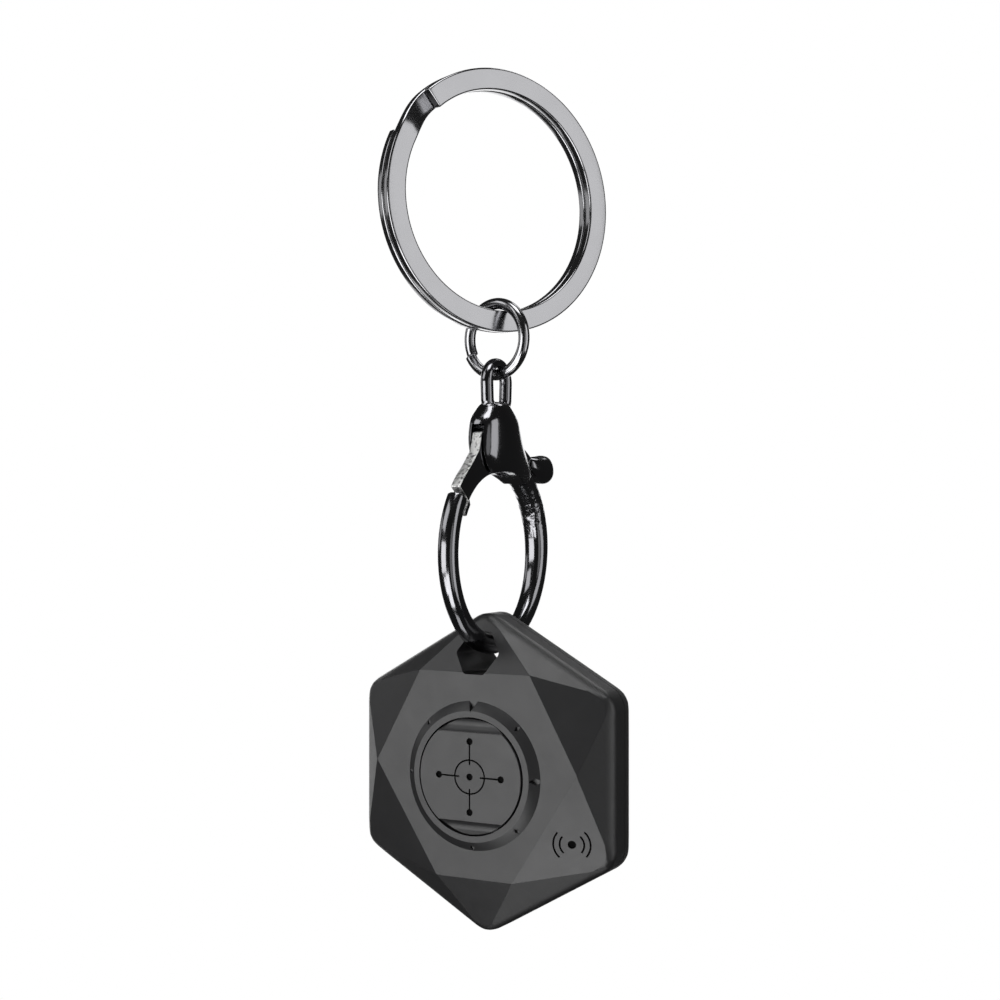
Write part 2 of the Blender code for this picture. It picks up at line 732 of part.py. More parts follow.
def bezel_cuts():
    """The wide notch at the top of the bezel, the diamond at the right and the small ticks between."""
    z = TAG_CENTRE_Z
    deep, proud = -TAG_FACE, BEZEL_Y - BEYOND
    notch = (
        (-BEZEL_NOTCH_TOP_HALF, z + BEZEL_NOTCH_TOP),
        (BEZEL_NOTCH_TOP_HALF, z + BEZEL_NOTCH_TOP),
        (0.0, z + BEZEL_NOTCH_FOOT),
    )
    cutters = [make_object("top_notch_cutter", prism(notch, proud, deep, "Y"))]
    for degrees in TICK_ANGLES:
        angle = math.radians(degrees)
        long, wide = DIAMOND_SIZE if degrees == 0.0 else TICK_SIZE
        middle = TICK_R
        points = []
        for reach, side in ((long, 0.0), (0.0, wide), (-long, 0.0), (0.0, -wide)):
            x = (middle + reach) * math.cos(angle) - side * math.sin(angle)
            up = (middle + reach) * math.sin(angle) + side * math.cos(angle)
            points.append((x, z + up))
        tick = prism(points, proud, deep - TICK_FLOOR, "Y")
        cutters.append(make_object(f"tick_{degrees:.0f}_cutter", tick))
    return cutters


def front_shell(material):
    half = faceted_half(FRONT_FACET, TAG_RIM, TAG_FACE, -1.0, PARTING_Y)
    shell = make_object("front_shell", half, material)
    cell_z = TAG_CENTRE_Z + CELL_Z
    pocket = (
        (LEDGE_R, PARTS_FLOOR_Y),
        (LEDGE_R, LEDGE_Y),
        (BOARD_POCKET_R, LEDGE_Y),
        (BOARD_POCKET_R, PARTING_Y + BEYOND),
    )
    bore = (
        (BUTTON_HOLE_R, BEZEL_Y - BEYOND),
        (BUTTON_HOLE_R, FLANGE_FLOOR_Y),
        (FLANGE_POCKET_R, FLANGE_FLOOR_Y),
        (FLANGE_POCKET_R, PARTS_FLOOR_Y + 0.5 * MM),
    )
    combine(shell, bezel_ring(), "UNION", SHELL_SOLVER)
    cutters = [
        make_object("board_pocket_cutter", turned(pocket, 0.0, cell_z)),
        make_object("button_bore_cutter", turned(bore, 0.0, TAG_CENTRE_Z, 64)),
        keyring_hole(),
        *bezel_cuts(),
    ]
    for i, (x, z) in enumerate(screw_places(), 1):
        profile = (
            (SCREW_SHANK_R + SCREW_PLAY, SCREW_TIP_Y - 0.3 * MM),
            (SCREW_SHANK_R + SCREW_PLAY, PARTING_Y + BEYOND),
        )
        cutters.append(make_object(f"boss_{i}_cutter", turned(profile, x, z, 12)))
    for cutter in cutters:
        combine(shell, cutter, "DIFFERENCE", SHELL_SOLVER)
    return shell


def rear_bore():
    """Cutter for the battery well, the bayonet channel and the cover's seat, about the battery axis."""
    profile = (
        (WELL_R, -1.0 * MM),
        (WELL_R, CHANNEL_Y[0]),
        (CHANNEL_R, CHANNEL_Y[0]),
        (CHANNEL_R, CHANNEL_Y[1]),
        (COVER_LEDGE_R, CHANNEL_Y[1]),
        (COVER_LEDGE_R, COVER_SEAT_Y),
        (COVER_SEAT_R, COVER_SEAT_Y),
        (COVER_SEAT_R, TAG_FACE + BEYOND),
    )
    return make_object("rear_bore_cutter", turned(profile, 0.0, TAG_CENTRE_Z + CELL_Z))


def ring_sector(bore, rim, low, high, centre_angle, half_angle, centre_z, steps=6):
    """Part of a flat ring about the Y direction."""
    outline = []
    for radius, order in ((bore, range(steps + 1)), (rim, range(steps, -1, -1))):
        for i in order:
            angle = centre_angle - half_angle + 2.0 * half_angle * i / steps
            outline.append((radius * math.cos(angle), centre_z + radius * math.sin(angle)))
    return prism(outline, low, high, "Y")


def rear_shell(material):
    parting = PARTING_Y + PARTING_GAP
    half = faceted_half(REAR_FACET, REAR_RIM, TAG_FACE, 1.0, parting)
    shell = make_object("rear_shell", half, material)
    cell_z = TAG_CENTRE_Z + CELL_Z
    lip = (
        (LIP_OUTER_R, LIP_Y),
        (LIP_OUTER_R, CHANNEL_Y[0] - NOTCH_MARGIN),
    )
    combine(shell, make_object("lip_body", turned(lip, 0.0, cell_z)), "UNION", SHELL_SOLVER)
    cutters = [rear_bore(), keyring_hole()]
    low, high = CHANNEL_Y[0] + NOTCH_MARGIN, COVER_SEAT_Y + NOTCH_MARGIN
    for i in range(LUG_COUNT):
        angle = LUG_REST + COVER_TURN + math.tau * i / LUG_COUNT
        notch = ring_sector(WELL_R - 0.5 * MM, NOTCH_R, low, high, -angle, NOTCH_HALF, cell_z)
        cutters.append(make_object(f"notch_{i + 1}_cutter", notch))
    for i, (x, z) in enumerate(screw_places(), 1):
        profile = (
            (SCREW_SHANK_R + SCREW_PLAY, 0.0),
            (SCREW_SHANK_R + SCREW_PLAY, SCREW_SEAT_Y),
            (SCREW_HEAD_R + 2 * SCREW_PLAY, SCREW_SEAT_Y),
            (SCREW_HEAD_R + 2 * SCREW_PLAY, TAG_FACE + BEYOND),
        )
        cutters.append(make_object(f"counterbore_{i}_cutter", turned(profile, x, z, 16)))
    for cutter in cutters:
        combine(shell, cutter, "DIFFERENCE", SHELL_SOLVER)
    return shell


def case_screw(number, x, z, material):
    profile = (
        (SCREW_SHANK_R * 0.6, SCREW_TIP_Y),
        (SCREW_SHANK_R, SCREW_TIP_Y + 0.5 * MM),
        (SCREW_SHANK_R, SCREW_HEAD_Y[0]),
        (SCREW_HEAD_R, SCREW_HEAD_Y[0]),
        (SCREW_HEAD_R, SCREW_HEAD_Y[1] - 0.15 * MM),
        (SCREW_HEAD_R - 0.2 * MM, SCREW_HEAD_Y[1]),
    )
    name = f"case_screw_{number}"
    screw = make_object(name, turned(profile, x, z, 16), material)
    arm, reach = 0.14 * MM, 0.65 * MM
    cross = (
        (arm, arm), (arm, reach), (-arm, reach), (-arm, arm), (-reach, arm), (-reach, -arm),
        (-arm, -arm), (-arm, -reach), (arm, -reach), (arm, -arm), (reach, -arm), (reach, arm),
    )
    outline = [(x + a, z + b) for a, b in cross]
    drive = prism(outline, SCREW_HEAD_Y[1] - 0.45 * MM, SCREW_HEAD_Y[1] + 0.2 * MM, "Y")
    combine(screw, make_object(f"drive_{number}_cutter", drive), "DIFFERENCE")
    return screw


# ---- Battery cover and button ----


def battery_cover(material):
    cell_z = TAG_CENTRE_Z + CELL_Z
    profile = (
        (COVER_R, COVER_Y[0]),
        (COVER_R, COVER_Y[1] - 0.25 * MM),
        (COVER_R - 0.25 * MM, COVER_Y[1]),
    )
    cover = make_object("battery_cover", turned(profile, 0.0, cell_z, 64), material)
    skirt = tube(*SKIRT_R, SKIRT_Y, COVER_Y[0] + 0.2 * MM, 0.0, cell_z)
    combine(cover, make_object("skirt_body", skirt), "UNION")
    for i in range(LUG_COUNT):
        angle = LUG_REST + math.tau * i / LUG_COUNT
        lug = ring_sector(SKIRT_R[0] + 0.1 * MM, LUG_R, *LUG_Y, angle, LUG_HALF, cell_z)
        combine(cover, make_object(f"lug_{i + 1}_body", lug), "UNION")
    half_long, depth, wide = COIN_SLOT[0] / 2, COIN_SLOT[1], COIN_SLOT[2]
    slot = [(half_long - wide / 2, -wide / 2), (half_long, 0.0), (half_long - wide / 2, wide / 2)]
    slot += [(-x, -z) for x, z in slot]
    slot = [(x, cell_z + z) for x, z in slot]
    coin = make_object("coin_slot_cutter", prism(slot, COVER_Y[1] - depth, COVER_Y[1] + 1.0 * MM, "Y"))
    combine(cover, coin, "DIFFERENCE")
    return cover


def dish_cutter(side):
    """Scoops a shallow segment out of the button beyond its flat band."""
    steps = 12
    outline = [(BUTTON_FACE_Y - BEYOND, BUTTON_BAND)]
    for i in range(steps + 1):
        part = i / steps
        drop = DISH_STEP + DISH_DEPTH * (1.0 - (2.0 * part - 1.0) ** 2)
        outline.append((BUTTON_FACE_Y + drop, BUTTON_BAND + DISH_WIDTH * part))
    outline.append((BUTTON_FACE_Y - BEYOND, BUTTON_BAND + DISH_WIDTH))
    outline = [(y, TAG_CENTRE_Z + side * z) for y, z in outline]
    return prism(outline, -BUTTON_FLANGE_R, BUTTON_FLANGE_R, "X")


def button_cap(material):
    face = BUTTON_FACE_Y
    profile = (
        (BUTTON_R - BUTTON_EDGE, face),
        (BUTTON_R, face + BUTTON_EDGE),
        (BUTTON_R, BUTTON_FLANGE_Y[0]),
        (BUTTON_FLANGE_R, BUTTON_FLANGE_Y[0]),
        (BUTTON_FLANGE_R, BUTTON_FLANGE_Y[1]),
    )
    cap = make_object("button_cap", turned(profile, 0.0, TAG_CENTRE_Z, 64), material)
    for name, side in (("upper_dish_cutter", 1.0), ("lower_dish_cutter", -1.0)):
        combine(cap, make_object(name, dish_cutter(side)), "DIFFERENCE")
    return cap


# ---- Board and battery ----


def block(half_width, half_height, depths, x, z):
    outline = (
        (x - half_width, z - half_height),
        (x + half_width, z - half_height),
        (x + half_width, z + half_height),
        (x - half_width, z + half_height),
    )
    return prism(outline, *depths, "Y")


def circuit_board(material):
    profile = ((BOARD_R, BOARD_Y[0]), (BOARD_R, BOARD_Y[1]))
    return make_object("circuit_board", turned(profile, 0.0, TAG_CENTRE_Z + CELL_Z), material)


def board_part(name, material):
    (x, z), (half_width, half_height), depths = BOARD_PARTS[name]
    y_pair = [depth * MM for depth in depths]
    z = TAG_CENTRE_Z + CELL_Z + z * MM
    part = make_object(name, block(half_width * MM, half_height * MM, y_pair, x * MM, z), material)
    soften(part, 0.1 * MM, 1)
    return part


def tactile_switch(material):
    body = block(SWITCH_HALF, SWITCH_HALF, SWITCH_Y, 0.0, TAG_CENTRE_Z)
    switch = make_object("tactile_switch", body, material)
    profile = (
        (SWITCH_HOLE_R, SWITCH_Y[0] - BEYOND),
        (SWITCH_HOLE_R, SWITCH_FLOOR_Y),
    )
    hole = make_object("switch_hole_cutter", turned(profile, 0.0, TAG_CENTRE_Z, 20))
    combine(switch, hole, "DIFFERENCE")
    return switch


def switch_plunger(material):
    profile = (
        (PLUNGER_R - 0.1 * MM, PLUNGER_Y[0]),
        (PLUNGER_R, PLUNGER_Y[0] + 0.1 * MM),
        (PLUNGER_R, PLUNGER_Y[1]),
    )
    return make_object("switch_plunger", turned(profile, 0.0, TAG_CENTRE_Z, 20), material)


def coin_cell(material):
    low, high = CELL_Y
    profile = (
        (CELL_R - 1.3 * MM, low),
        (CELL_R - 1.0 * MM, low + 0.3 * MM),
        (CELL_R - 0.4 * MM, low + 0.3 * MM),
        (CELL_R, low + 0.7 * MM),
        (CELL_R, high - 0.3 * MM),
        (CELL_R - 0.3 * MM, high),
    )
    return make_object("coin_cell", turned(profile, 0.0, TAG_CENTRE_Z + CELL_Z), material)


def cover_seal(material):
    return make_object("cover_seal", tube(*SEAL_R, *SEAL_Y, 0.0, TAG_CENTRE_Z + CELL_Z), material)


def negative_contact(material):
    """A spring leaf with two fingers, between the board and the battery's small face."""
    z = TAG_CENTRE_Z + CELL_Z
    right = [(x * MM, z + up * MM) for x, up in CONTACT_RIGHT]
    left = [(-x, up) for x, up in reversed(right)]
    outline = [*right, (0.0, z + CONTACT_FORK), *left]
    return make_object("negative_contact", prism(outline, *NEGATIVE_CONTACT_Y, "Y"), material)


def positive_contact(material):
    """A clip that stands beside the battery and touches its rim."""
    bore, rim = CLIP_R
    clip = ring_sector(bore, rim, *CLIP_Y, math.radians(-90.0), CLIP_HALF, TAG_CENTRE_Z + CELL_Z)
    return make_object("positive_contact", clip, material)


def hang(piece, axis):
    """Move a finished piece of the tag under the hook and hold it on its axis."""
    bpy.context.view_layer.update()
    graph = bpy.context.evaluated_depsgraph_get()
    mesh = bpy.data.meshes.new_from_object(piece.evaluated_get(graph))
    mesh.transform(Matrix.Translation((0.0, TAG_Y, 0.0)))
    piece.modifiers.clear()
    piece.data = mesh
    hold(piece, axis)


def main():
    clear_scene()
    metal = finish("black_nickel", (0.10, 0.10, 0.11), 0.18, 1.0)
    cast = finish("cast_metal", (0.16, 0.16, 0.17), 0.32, 1.0)
    steel = finish("steel", (0.55, 0.55, 0.56), 0.3, 1.0)
    shell = finish("black_plastic", (0.035, 0.035, 0.037), 0.45, 0.0)
    button = finish("button_plastic", (0.04, 0.04, 0.042), 0.45, 0.0)
    rubber = finish("seal_rubber", (0.02, 0.02, 0.02), 0.8, 0.0)
    board = finish("board_green", (0.02, 0.12, 0.05), 0.5, 0.0)
    chip = finish("chip_black", (0.02, 0.02, 0.022), 0.4, 0.0)
    ceramic = finish("ceramic_white", (0.75, 0.74, 0.70), 0.5, 0.0)
    gold = finish("contact_brass", (0.75, 0.58, 0.28), 0.3, 1.0)

    split_ring(metal)
    jump_axis = anchor("jump_ring_axis", (0.0, 0.0, JUMP_TOP_Z))
    clasp_axis = anchor("clasp_axis", (0.0, 0.0, JUMP_BOTTOM_Z), jump_axis)
    lever_axis = anchor("lever_axis", (0.0, PIN_Y, PIN_Z), clasp_axis)
    tag_axis = anchor("tag_axis", (0.0, LOOP_CENTRE_Y, LOOP_BOTTOM_Z), clasp_axis)
    button_axis = anchor("button_axis", (0.0, TAG_Y, TAG_CENTRE_Z), tag_axis)
    cover_axis = anchor("cover_axis", (0.0, TAG_Y, TAG_CENTRE_Z + CELL_Z), tag_axis)

    hold(jump_ring(metal), jump_axis)
    for piece in (clasp_body(metal), lever_pin(steel), lever_spring(steel)):
        hold(piece, clasp_axis)
    hold(gate_lever(cast), lever_axis)
    tag_pieces = [
        front_shell(shell),
        rear_shell(shell),
        cover_seal(rubber),
        circuit_board(board),
        board_part("bluetooth_chip", chip),
        board_part("crystal", steel),
        board_part("antenna", ceramic),
        board_part("piezo_buzzer", chip),
        tactile_switch(steel),
        coin_cell(steel),
        negative_contact(gold),
        positive_contact(gold),
    ]
    for number, (x, z) in enumerate(screw_places(), 1):
        tag_pieces.append(case_screw(number, x, z, steel))
    for piece in tag_pieces:
        hang(piece, tag_axis)
    for piece in (button_cap(button), switch_plunger(rubber)):
        hang(piece, button_axis)
    hang(battery_cover(shell), cover_axis)
    bpy.context.view_layer.update()


main()
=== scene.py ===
"""The tracker tag's looks: fine meshes for every visible piece, its materials, light and camera.

Units are metres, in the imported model's frame: +Z up, the tag's front faces -Y, links hang on the Z axis.
"""

import json
import math

import bmesh
import bpy
from mathutils import Matrix, Vector

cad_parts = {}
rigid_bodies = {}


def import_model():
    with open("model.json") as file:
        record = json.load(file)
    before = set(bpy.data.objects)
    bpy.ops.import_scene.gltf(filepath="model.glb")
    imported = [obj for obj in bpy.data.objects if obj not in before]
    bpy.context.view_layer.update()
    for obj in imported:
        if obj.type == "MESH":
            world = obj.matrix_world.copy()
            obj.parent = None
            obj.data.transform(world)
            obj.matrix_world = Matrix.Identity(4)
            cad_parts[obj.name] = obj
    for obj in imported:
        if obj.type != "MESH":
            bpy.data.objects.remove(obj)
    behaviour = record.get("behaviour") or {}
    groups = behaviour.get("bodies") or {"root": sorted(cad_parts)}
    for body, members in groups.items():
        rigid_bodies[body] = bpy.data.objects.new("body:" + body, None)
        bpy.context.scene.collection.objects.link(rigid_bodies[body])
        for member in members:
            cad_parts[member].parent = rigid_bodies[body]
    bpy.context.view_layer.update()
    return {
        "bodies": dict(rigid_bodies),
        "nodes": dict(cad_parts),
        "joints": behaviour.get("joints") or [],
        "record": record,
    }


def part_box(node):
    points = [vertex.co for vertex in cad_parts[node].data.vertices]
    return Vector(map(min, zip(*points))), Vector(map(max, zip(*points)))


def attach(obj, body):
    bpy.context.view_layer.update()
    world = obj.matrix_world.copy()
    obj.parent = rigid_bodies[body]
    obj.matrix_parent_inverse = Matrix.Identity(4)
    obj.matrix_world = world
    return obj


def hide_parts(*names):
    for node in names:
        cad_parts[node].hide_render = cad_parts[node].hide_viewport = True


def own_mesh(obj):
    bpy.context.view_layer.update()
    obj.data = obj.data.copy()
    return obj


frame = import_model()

MM = 0.001
UP = Vector((0.0, 0.0, 1.0))
ALONG_X = Vector((1.0, 0.0, 0.0))
FINE_STEPS = 192                     # steps round the discs that are seen from close by
PIVOTS = {joint["name"]: Vector(joint["pos_m"]) for joint in frame["joints"] if "pos_m" in joint}

# ---- Places and sizes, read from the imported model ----

SPLIT_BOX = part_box("split_ring")
SPLIT_OUTER_R = (SPLIT_BOX[1].z - SPLIT_BOX[0].z) / 2
SPLIT_CENTRE = (SPLIT_BOX[0] + SPLIT_BOX[1]) / 2
SPLIT_BAND = 2.6 * MM
SPLIT_WIRE_T = 1.2 * MM
SPLIT_TURN_GAP = 0.1 * MM
SPLIT_AZIMUTH = math.radians(62.0)
SPLIT_FRONT_END = math.radians(-40.0)
SPLIT_STEP = math.radians(24.0)
SPLIT_EDGE = 0.26 * MM
SPLIT_END = 0.16 * MM

JUMP_AZIMUTH = math.radians(-11.6)
JUMP_TOP = PIVOTS["jump_ring_swing"].z
JUMP_BOTTOM = PIVOTS["clasp_swing"].z
JUMP_R = (JUMP_TOP - JUMP_BOTTOM) / 2
JUMP_CENTRE_Z = (JUMP_TOP + JUMP_BOTTOM) / 2
JUMP_WIRE_R = 0.7 * MM
JUMP_CUT_AT = math.radians(-115.0)
JUMP_CUT = math.radians(5.0)
JUMP_OFFSET = 0.22 * MM
JUMP_END = 0.08 * MM
RING_SMOOTH = 50.0

LOOP_R = 11.2 * MM
LOOP_BOTTOM_Z = PIVOTS["tag_swing"].z
LOOP_CENTRE_Y = PIVOTS["tag_swing"].y
LOOP_CENTRE_Z = LOOP_BOTTOM_Z + LOOP_R
PIN_Y = PIVOTS["gate_lever_turn"].y
PIN_Z = PIVOTS["gate_lever_turn"].z

SHELL_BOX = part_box("front_shell")
TAG_Z = (SHELL_BOX[0].z + SHELL_BOX[1].z) / 2
TAG_APOTHEM = SHELL_BOX[1].x
TAG_Y = PIVOTS["battery_cover_turn"].y
CELL_Z = PIVOTS["battery_cover_turn"].z
BEZEL_Y = SHELL_BOX[0].y - TAG_Y
PARTING_Y = SHELL_BOX[1].y - TAG_Y
TAG_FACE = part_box("rear_shell")[1].y - TAG_Y

CAMERA_AZIMUTH = 28.4
CAMERA_DISTANCE = 200.0 * MM
CAMERA_SIDE = 0.45 * MM
CAMERA_Z = -49.8 * MM
CAMERA_LENS = 59.0
CAMERA_SENSOR = 36.0
CAMERA_NEAR = 10.0 * MM
LIGHT_TARGET = Vector((0.0, 0.0, -60.0 * MM))
LIGHT_DISTANCE = 600.0 * MM
ROOM_COLOUR = (0.03, 0.03, 0.03)
FLOOR_Z = -350.0 * MM
FLOOR_R = 600.0 * MM
FLOOR_GLOW = 1.0


# ---- Mesh helpers ----


def make_object(name, bm, smooth_angle=32.0):
    """A named object with outward faces, smooth apart from its sharp edges."""
    bmesh.ops.recalc_face_normals(bm, faces=bm.faces)
    mesh = bpy.data.meshes.new(name)
    bm.to_mesh(mesh)
    bm.free()
    mesh.shade_smooth()
    mesh.set_sharp_from_angle(angle=math.radians(smooth_angle))
    item = bpy.data.objects.new(name, mesh)
    bpy.context.scene.collection.objects.link(item)
    return item


def apply_modifiers(item, smooth_angle=None):
    """Replace an object's mesh by what its modifiers make of it."""
    bpy.context.view_layer.update()
    graph = bpy.context.evaluated_depsgraph_get()
    mesh = bpy.data.meshes.new_from_object(item.evaluated_get(graph))
    item.modifiers.clear()
    item.data = mesh
    if smooth_angle is not None:
        mesh.shade_smooth()
        mesh.set_sharp_from_angle(angle=math.radians(smooth_angle))
    return item


def flatten_facets(item, smooth_angle):
    """Keep large faces looking flat, so that only the narrow rounds between them shade smoothly."""
    item.data.shade_smooth()
    item.data.set_sharp_from_angle(angle=math.radians(smooth_angle))
    weighted = item.modifiers.new("facets", "WEIGHTED_NORMAL")
    weighted.mode = "FACE_AREA"
    weighted.keep_sharp = True
    weighted.weight = 100
    return item


def combine(target, tool, operation="DIFFERENCE", solver="EXACT"):
    """Cut with, or weld on, a tool object, which is then removed."""
    modifier = target.modifiers.new("shape", "BOOLEAN")
    modifier.operation = operation
    modifier.solver = solver
    modifier.object = tool
    apply_modifiers(target)
    bpy.data.objects.remove(tool, do_unlink=True)


def carve(target, bm, solver="EXACT"):
    """Cut a mesh out of an object."""
    combine(target, make_object("cutter", bm), "DIFFERENCE", solver)


def weld(target, bm, solver="EXACT"):
    """Weld a mesh onto an object."""
    combine(target, make_object("addition", bm), "UNION", solver)


def bevel(item, width, segments=2, angle=30.0):
    """Round the edges whose faces turn by more than an angle in degrees."""
    modifier = item.modifiers.new("edge", "BEVEL")
    modifier.width = width
    modifier.segments = segments
    modifier.limit_method = "ANGLE"
    modifier.angle_limit = math.radians(angle)
    modifier.harden_normals = False


def loft(rings, closed=False):
    """Skin a row of equal-length rings of points; open ends are capped."""
    bm = bmesh.new()
    rows = [[bm.verts.new(point) for point in ring] for ring in rings]
    pairs = list(zip(rows, rows[1:]))
    if closed:
        pairs.append((rows[-1], rows[0]))
    for near, far in pairs:
        for i, vertex in enumerate(near):
            j = (i + 1) % len(near)
            bm.faces.new((vertex, near[j], far[j], far[i]))
    if not closed:
        bm.faces.new(rows[0])
        bm.faces.new(rows[-1])
    return bm


def superellipse(half_u, half_v, power, count):
    """Section points; a power of 1 is an ellipse and a small power is a rounded rectangle."""
    points = []
    for i in range(count):
        angle = math.tau * (i + 0.5) / count
        cos, sin = math.cos(angle), math.sin(angle)
        u = half_u * math.copysign(abs(cos) ** power, cos)
        v = half_v * math.copysign(abs(sin) ** power, sin)
        points.append((u, v))
    return points


def in_mm(points):
    """Points given in millimetres, in the scene's metres."""
    return [tuple(part * MM for part in point) for point in points]


def arc(centre, radius, first, last, steps):
    """Points on a circle between two angles in degrees, with both ends."""
    points = []
    for i in range(steps + 1):
        angle = math.radians(first + (last - first) * i / steps)
        points.append((centre[0] + radius * math.cos(angle), centre[1] + radius * math.sin(angle)))
    return points


def circle(centre, radius, steps):
    """Evenly spread points all round a circle."""
    points = []
    for i in range(steps):
        angle = math.tau * i / steps
        points.append((centre[0] + radius * math.cos(angle), centre[1] + radius * math.sin(angle)))
    return points


def rounded_box(half_u, half_v, radius, steps=4):
    """Section points of a rectangle with round corners."""
    points = []
    for start in (0.0, 90.0, 180.0, 270.0):
        middle = math.radians(start + 45.0)
        u = math.copysign(half_u - radius, math.cos(middle))
        v = math.copysign(half_v - radius, math.sin(middle))
        points += arc((u, v), radius, start, start + 90.0, steps)
    return points


def sweep(frames, sections):
    """Place one section on each frame of a path; a frame is its centre and two axes."""
    return [
        [centre + u_axis * u + v_axis * v for u, v in section]
        for (centre, u_axis, v_axis), section in zip(frames, sections)
    ]


def heading(azimuth):
    """A ring's front normal and its rightward direction seen from the front."""
    normal = Vector((math.sin(azimuth), -math.cos(azimuth), 0.0))
    return normal, Vector((-normal.y, normal.x, 0.0))


def turned(profile, centre_x, centre_z, steps=96):
    """A solid of revolution about the Y direction, with flat ends; the profile is (radius, y)."""
    rings = []
    for radius, y in profile:
        rings.append([(x, y, z) for x, z in circle((centre_x, centre_z), radius, steps)])
    return loft(rings)


def rounded_rim(radius, top, edge):
    """The end of a turned profile, with its rim rounded; edge is its width, inset and drop."""
    width, inset, drop = edge
    return [(radius, top - width), (radius - inset, top - drop), (radius - width, top)]


def tube(bore, rim, low, high, centre_x, centre_z, steps=96):
    """A flat ring about the Y direction."""
    inner, outer = (circle((centre_x, centre_z), radius, steps) for radius in (bore, rim))
    rings = []
    for (x, z), (outer_x, outer_z) in zip(inner, outer):
        rings.append(((x, low, z), (outer_x, low, outer_z), (outer_x, high, outer_z), (x, high, z)))
    return loft(rings, closed=True)


def prism(outline, low, high, axis):
    """Extrude an outline along X or Y; its points are the two other coordinates."""
    rings = []
    for depth in (low, high):
        if axis == "X":
            rings.append([(depth, a, b) for a, b in outline])
        else:
            rings.append([(a, depth, b) for a, b in outline])
    return loft(rings)


def ring_sector(bore, rim, low, high, middle, half, centre_x, centre_z, steps=16):
    """Part of a flat ring about the Y direction."""
    outline = []
    for radius, order in ((bore, range(steps + 1)), (rim, range(steps, -1, -1))):
        for i in order:
            angle = middle - half + 2.0 * half * i / steps
            outline.append((centre_x + radius * math.cos(angle), centre_z + radius * math.sin(angle)))
    return prism(outline, low, high, "Y")


def finish_piece(item, body, material, slot, *nodes):
    """Give a piece its material, ride it on its body and hide the CAD nodes that it stands for."""
    if item.data.materials:
        item.data.materials[0] = material
    else:
        item.data.materials.append(material)
    if body in ("tag", "button", "cover"):
        item.data.transform(Matrix.Translation((0.0, TAG_Y, 0.0)))
    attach(item, body)
    if nodes:
        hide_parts(*nodes)
    return item


# ---- Materials ----

MIX_FACTOR, MIX_FIRST, MIX_SECOND, MIX_RESULT = 0, 6, 7, 2      # sockets of a colour mix node
SHINE_RANGE = 0.035                  # how far handling changes the plastic's roughness
SMUDGE_TINT = 1.06
PATCH_CORE = 0.6                     # share of a rough patch's radius that is rough all through


def new_material(name, colour, roughness, metallic):
    """A material with its node tree and its shader."""
    material = bpy.data.materials.new(name)
    material.use_nodes = True
    shader = material.node_tree.nodes["Principled BSDF"]
    shader.inputs["Base Color"].default_value = (*colour, 1.0)
    shader.inputs["Roughness"].default_value = roughness
    shader.inputs["Metallic"].default_value = metallic
    return material, material.node_tree, shader


def add_node(tree, kind, inputs, **settings):
    """A node with its settings; each input is a plain value or another node's output."""
    node = tree.nodes.new(kind)
    for name, value in settings.items():
        setattr(node, name, value)
    for name, value in inputs.items():
        if isinstance(value, bpy.types.NodeSocket):
            tree.links.new(value, node.inputs[name])
        else:
            node.inputs[name].default_value = value
    return node


def coordinates(tree, stretch=(1.0, 1.0, 1.0)):
    """Object coordinates, optionally stretched so that a grain runs one way."""
    source = add_node(tree, "ShaderNodeTexCoord", {})
    inputs = {"Vector": source.outputs["Object"], "Scale": stretch}
    return add_node(tree, "ShaderNodeMapping", inputs).outputs["Vector"]


def noise(tree, vector, scale, detail=4.0, rough=0.55):
    inputs = {"Vector": vector, "Scale": scale, "Detail": detail, "Roughness": rough}
    return add_node(tree, "ShaderNodeTexNoise", inputs).outputs["Fac"]


def remap(tree, value, low, high, out_low=0.0, out_high=1.0):
    """Stretch the range from low to high onto another one, and clamp what lies beyond it."""
    inputs = {"Value": value, "From Min": low, "From Max": high, "To Min": out_low, "To Max": out_high}
    return add_node(tree, "ShaderNodeMapRange", inputs).outputs["Result"]


def calculate(tree, first, operation, second):
    """A maths node on one value and either another value or a plain number."""
    return add_node(tree, "ShaderNodeMath", {0: first, 1: second}, operation=operation).outputs["Value"]


def mottle(tree, shader, factor, first, second):
    """Let the base colour wander between two colours."""
    inputs = {MIX_FACTOR: factor, MIX_FIRST: (*first, 1.0), MIX_SECOND: (*second, 1.0)}
    mix = add_node(tree, "ShaderNodeMix", inputs, data_type="RGBA")
    tree.links.new(mix.outputs[MIX_RESULT], shader.inputs["Base Color"])


def vary_roughness(tree, shader, value, low, high, smooth, rough):
    """Let the roughness follow a value between two limits."""
    tree.links.new(remap(tree, value, low, high, smooth, rough), shader.inputs["Roughness"])


def bump(tree, shader, height, distance, strength):
    """Raise the surface by a height that a pattern gives."""
    inputs = {"Height": height, "Distance": distance, "Strength": strength}
    tree.links.new(add_node(tree, "ShaderNodeBump", inputs).outputs["Normal"], shader.inputs["Normal"])


def moulded_plastic(name, dark, light, roughness):
    """Satin black plastic: fine spark-eroded grain, faint flow marks and handling shine."""
    material, tree, shader = new_material(name, dark, roughness, 0.0)
    vector = coordinates(tree)
    grain = noise(tree, vector, 9000.0, detail=3.0, rough=0.6)
    flow = noise(tree, vector, 140.0)
    shine = noise(tree, vector, 420.0, detail=5.0, rough=0.62)
    mottle(tree, shader, remap(tree, flow, 0.3, 0.7), dark, light)
    vary_roughness(tree, shader, shine, 0.25, 0.75, roughness - SHINE_RANGE, roughness + SHINE_RANGE)
    bump(tree, shader, grain, 0.012 * MM, 0.55)
    return material


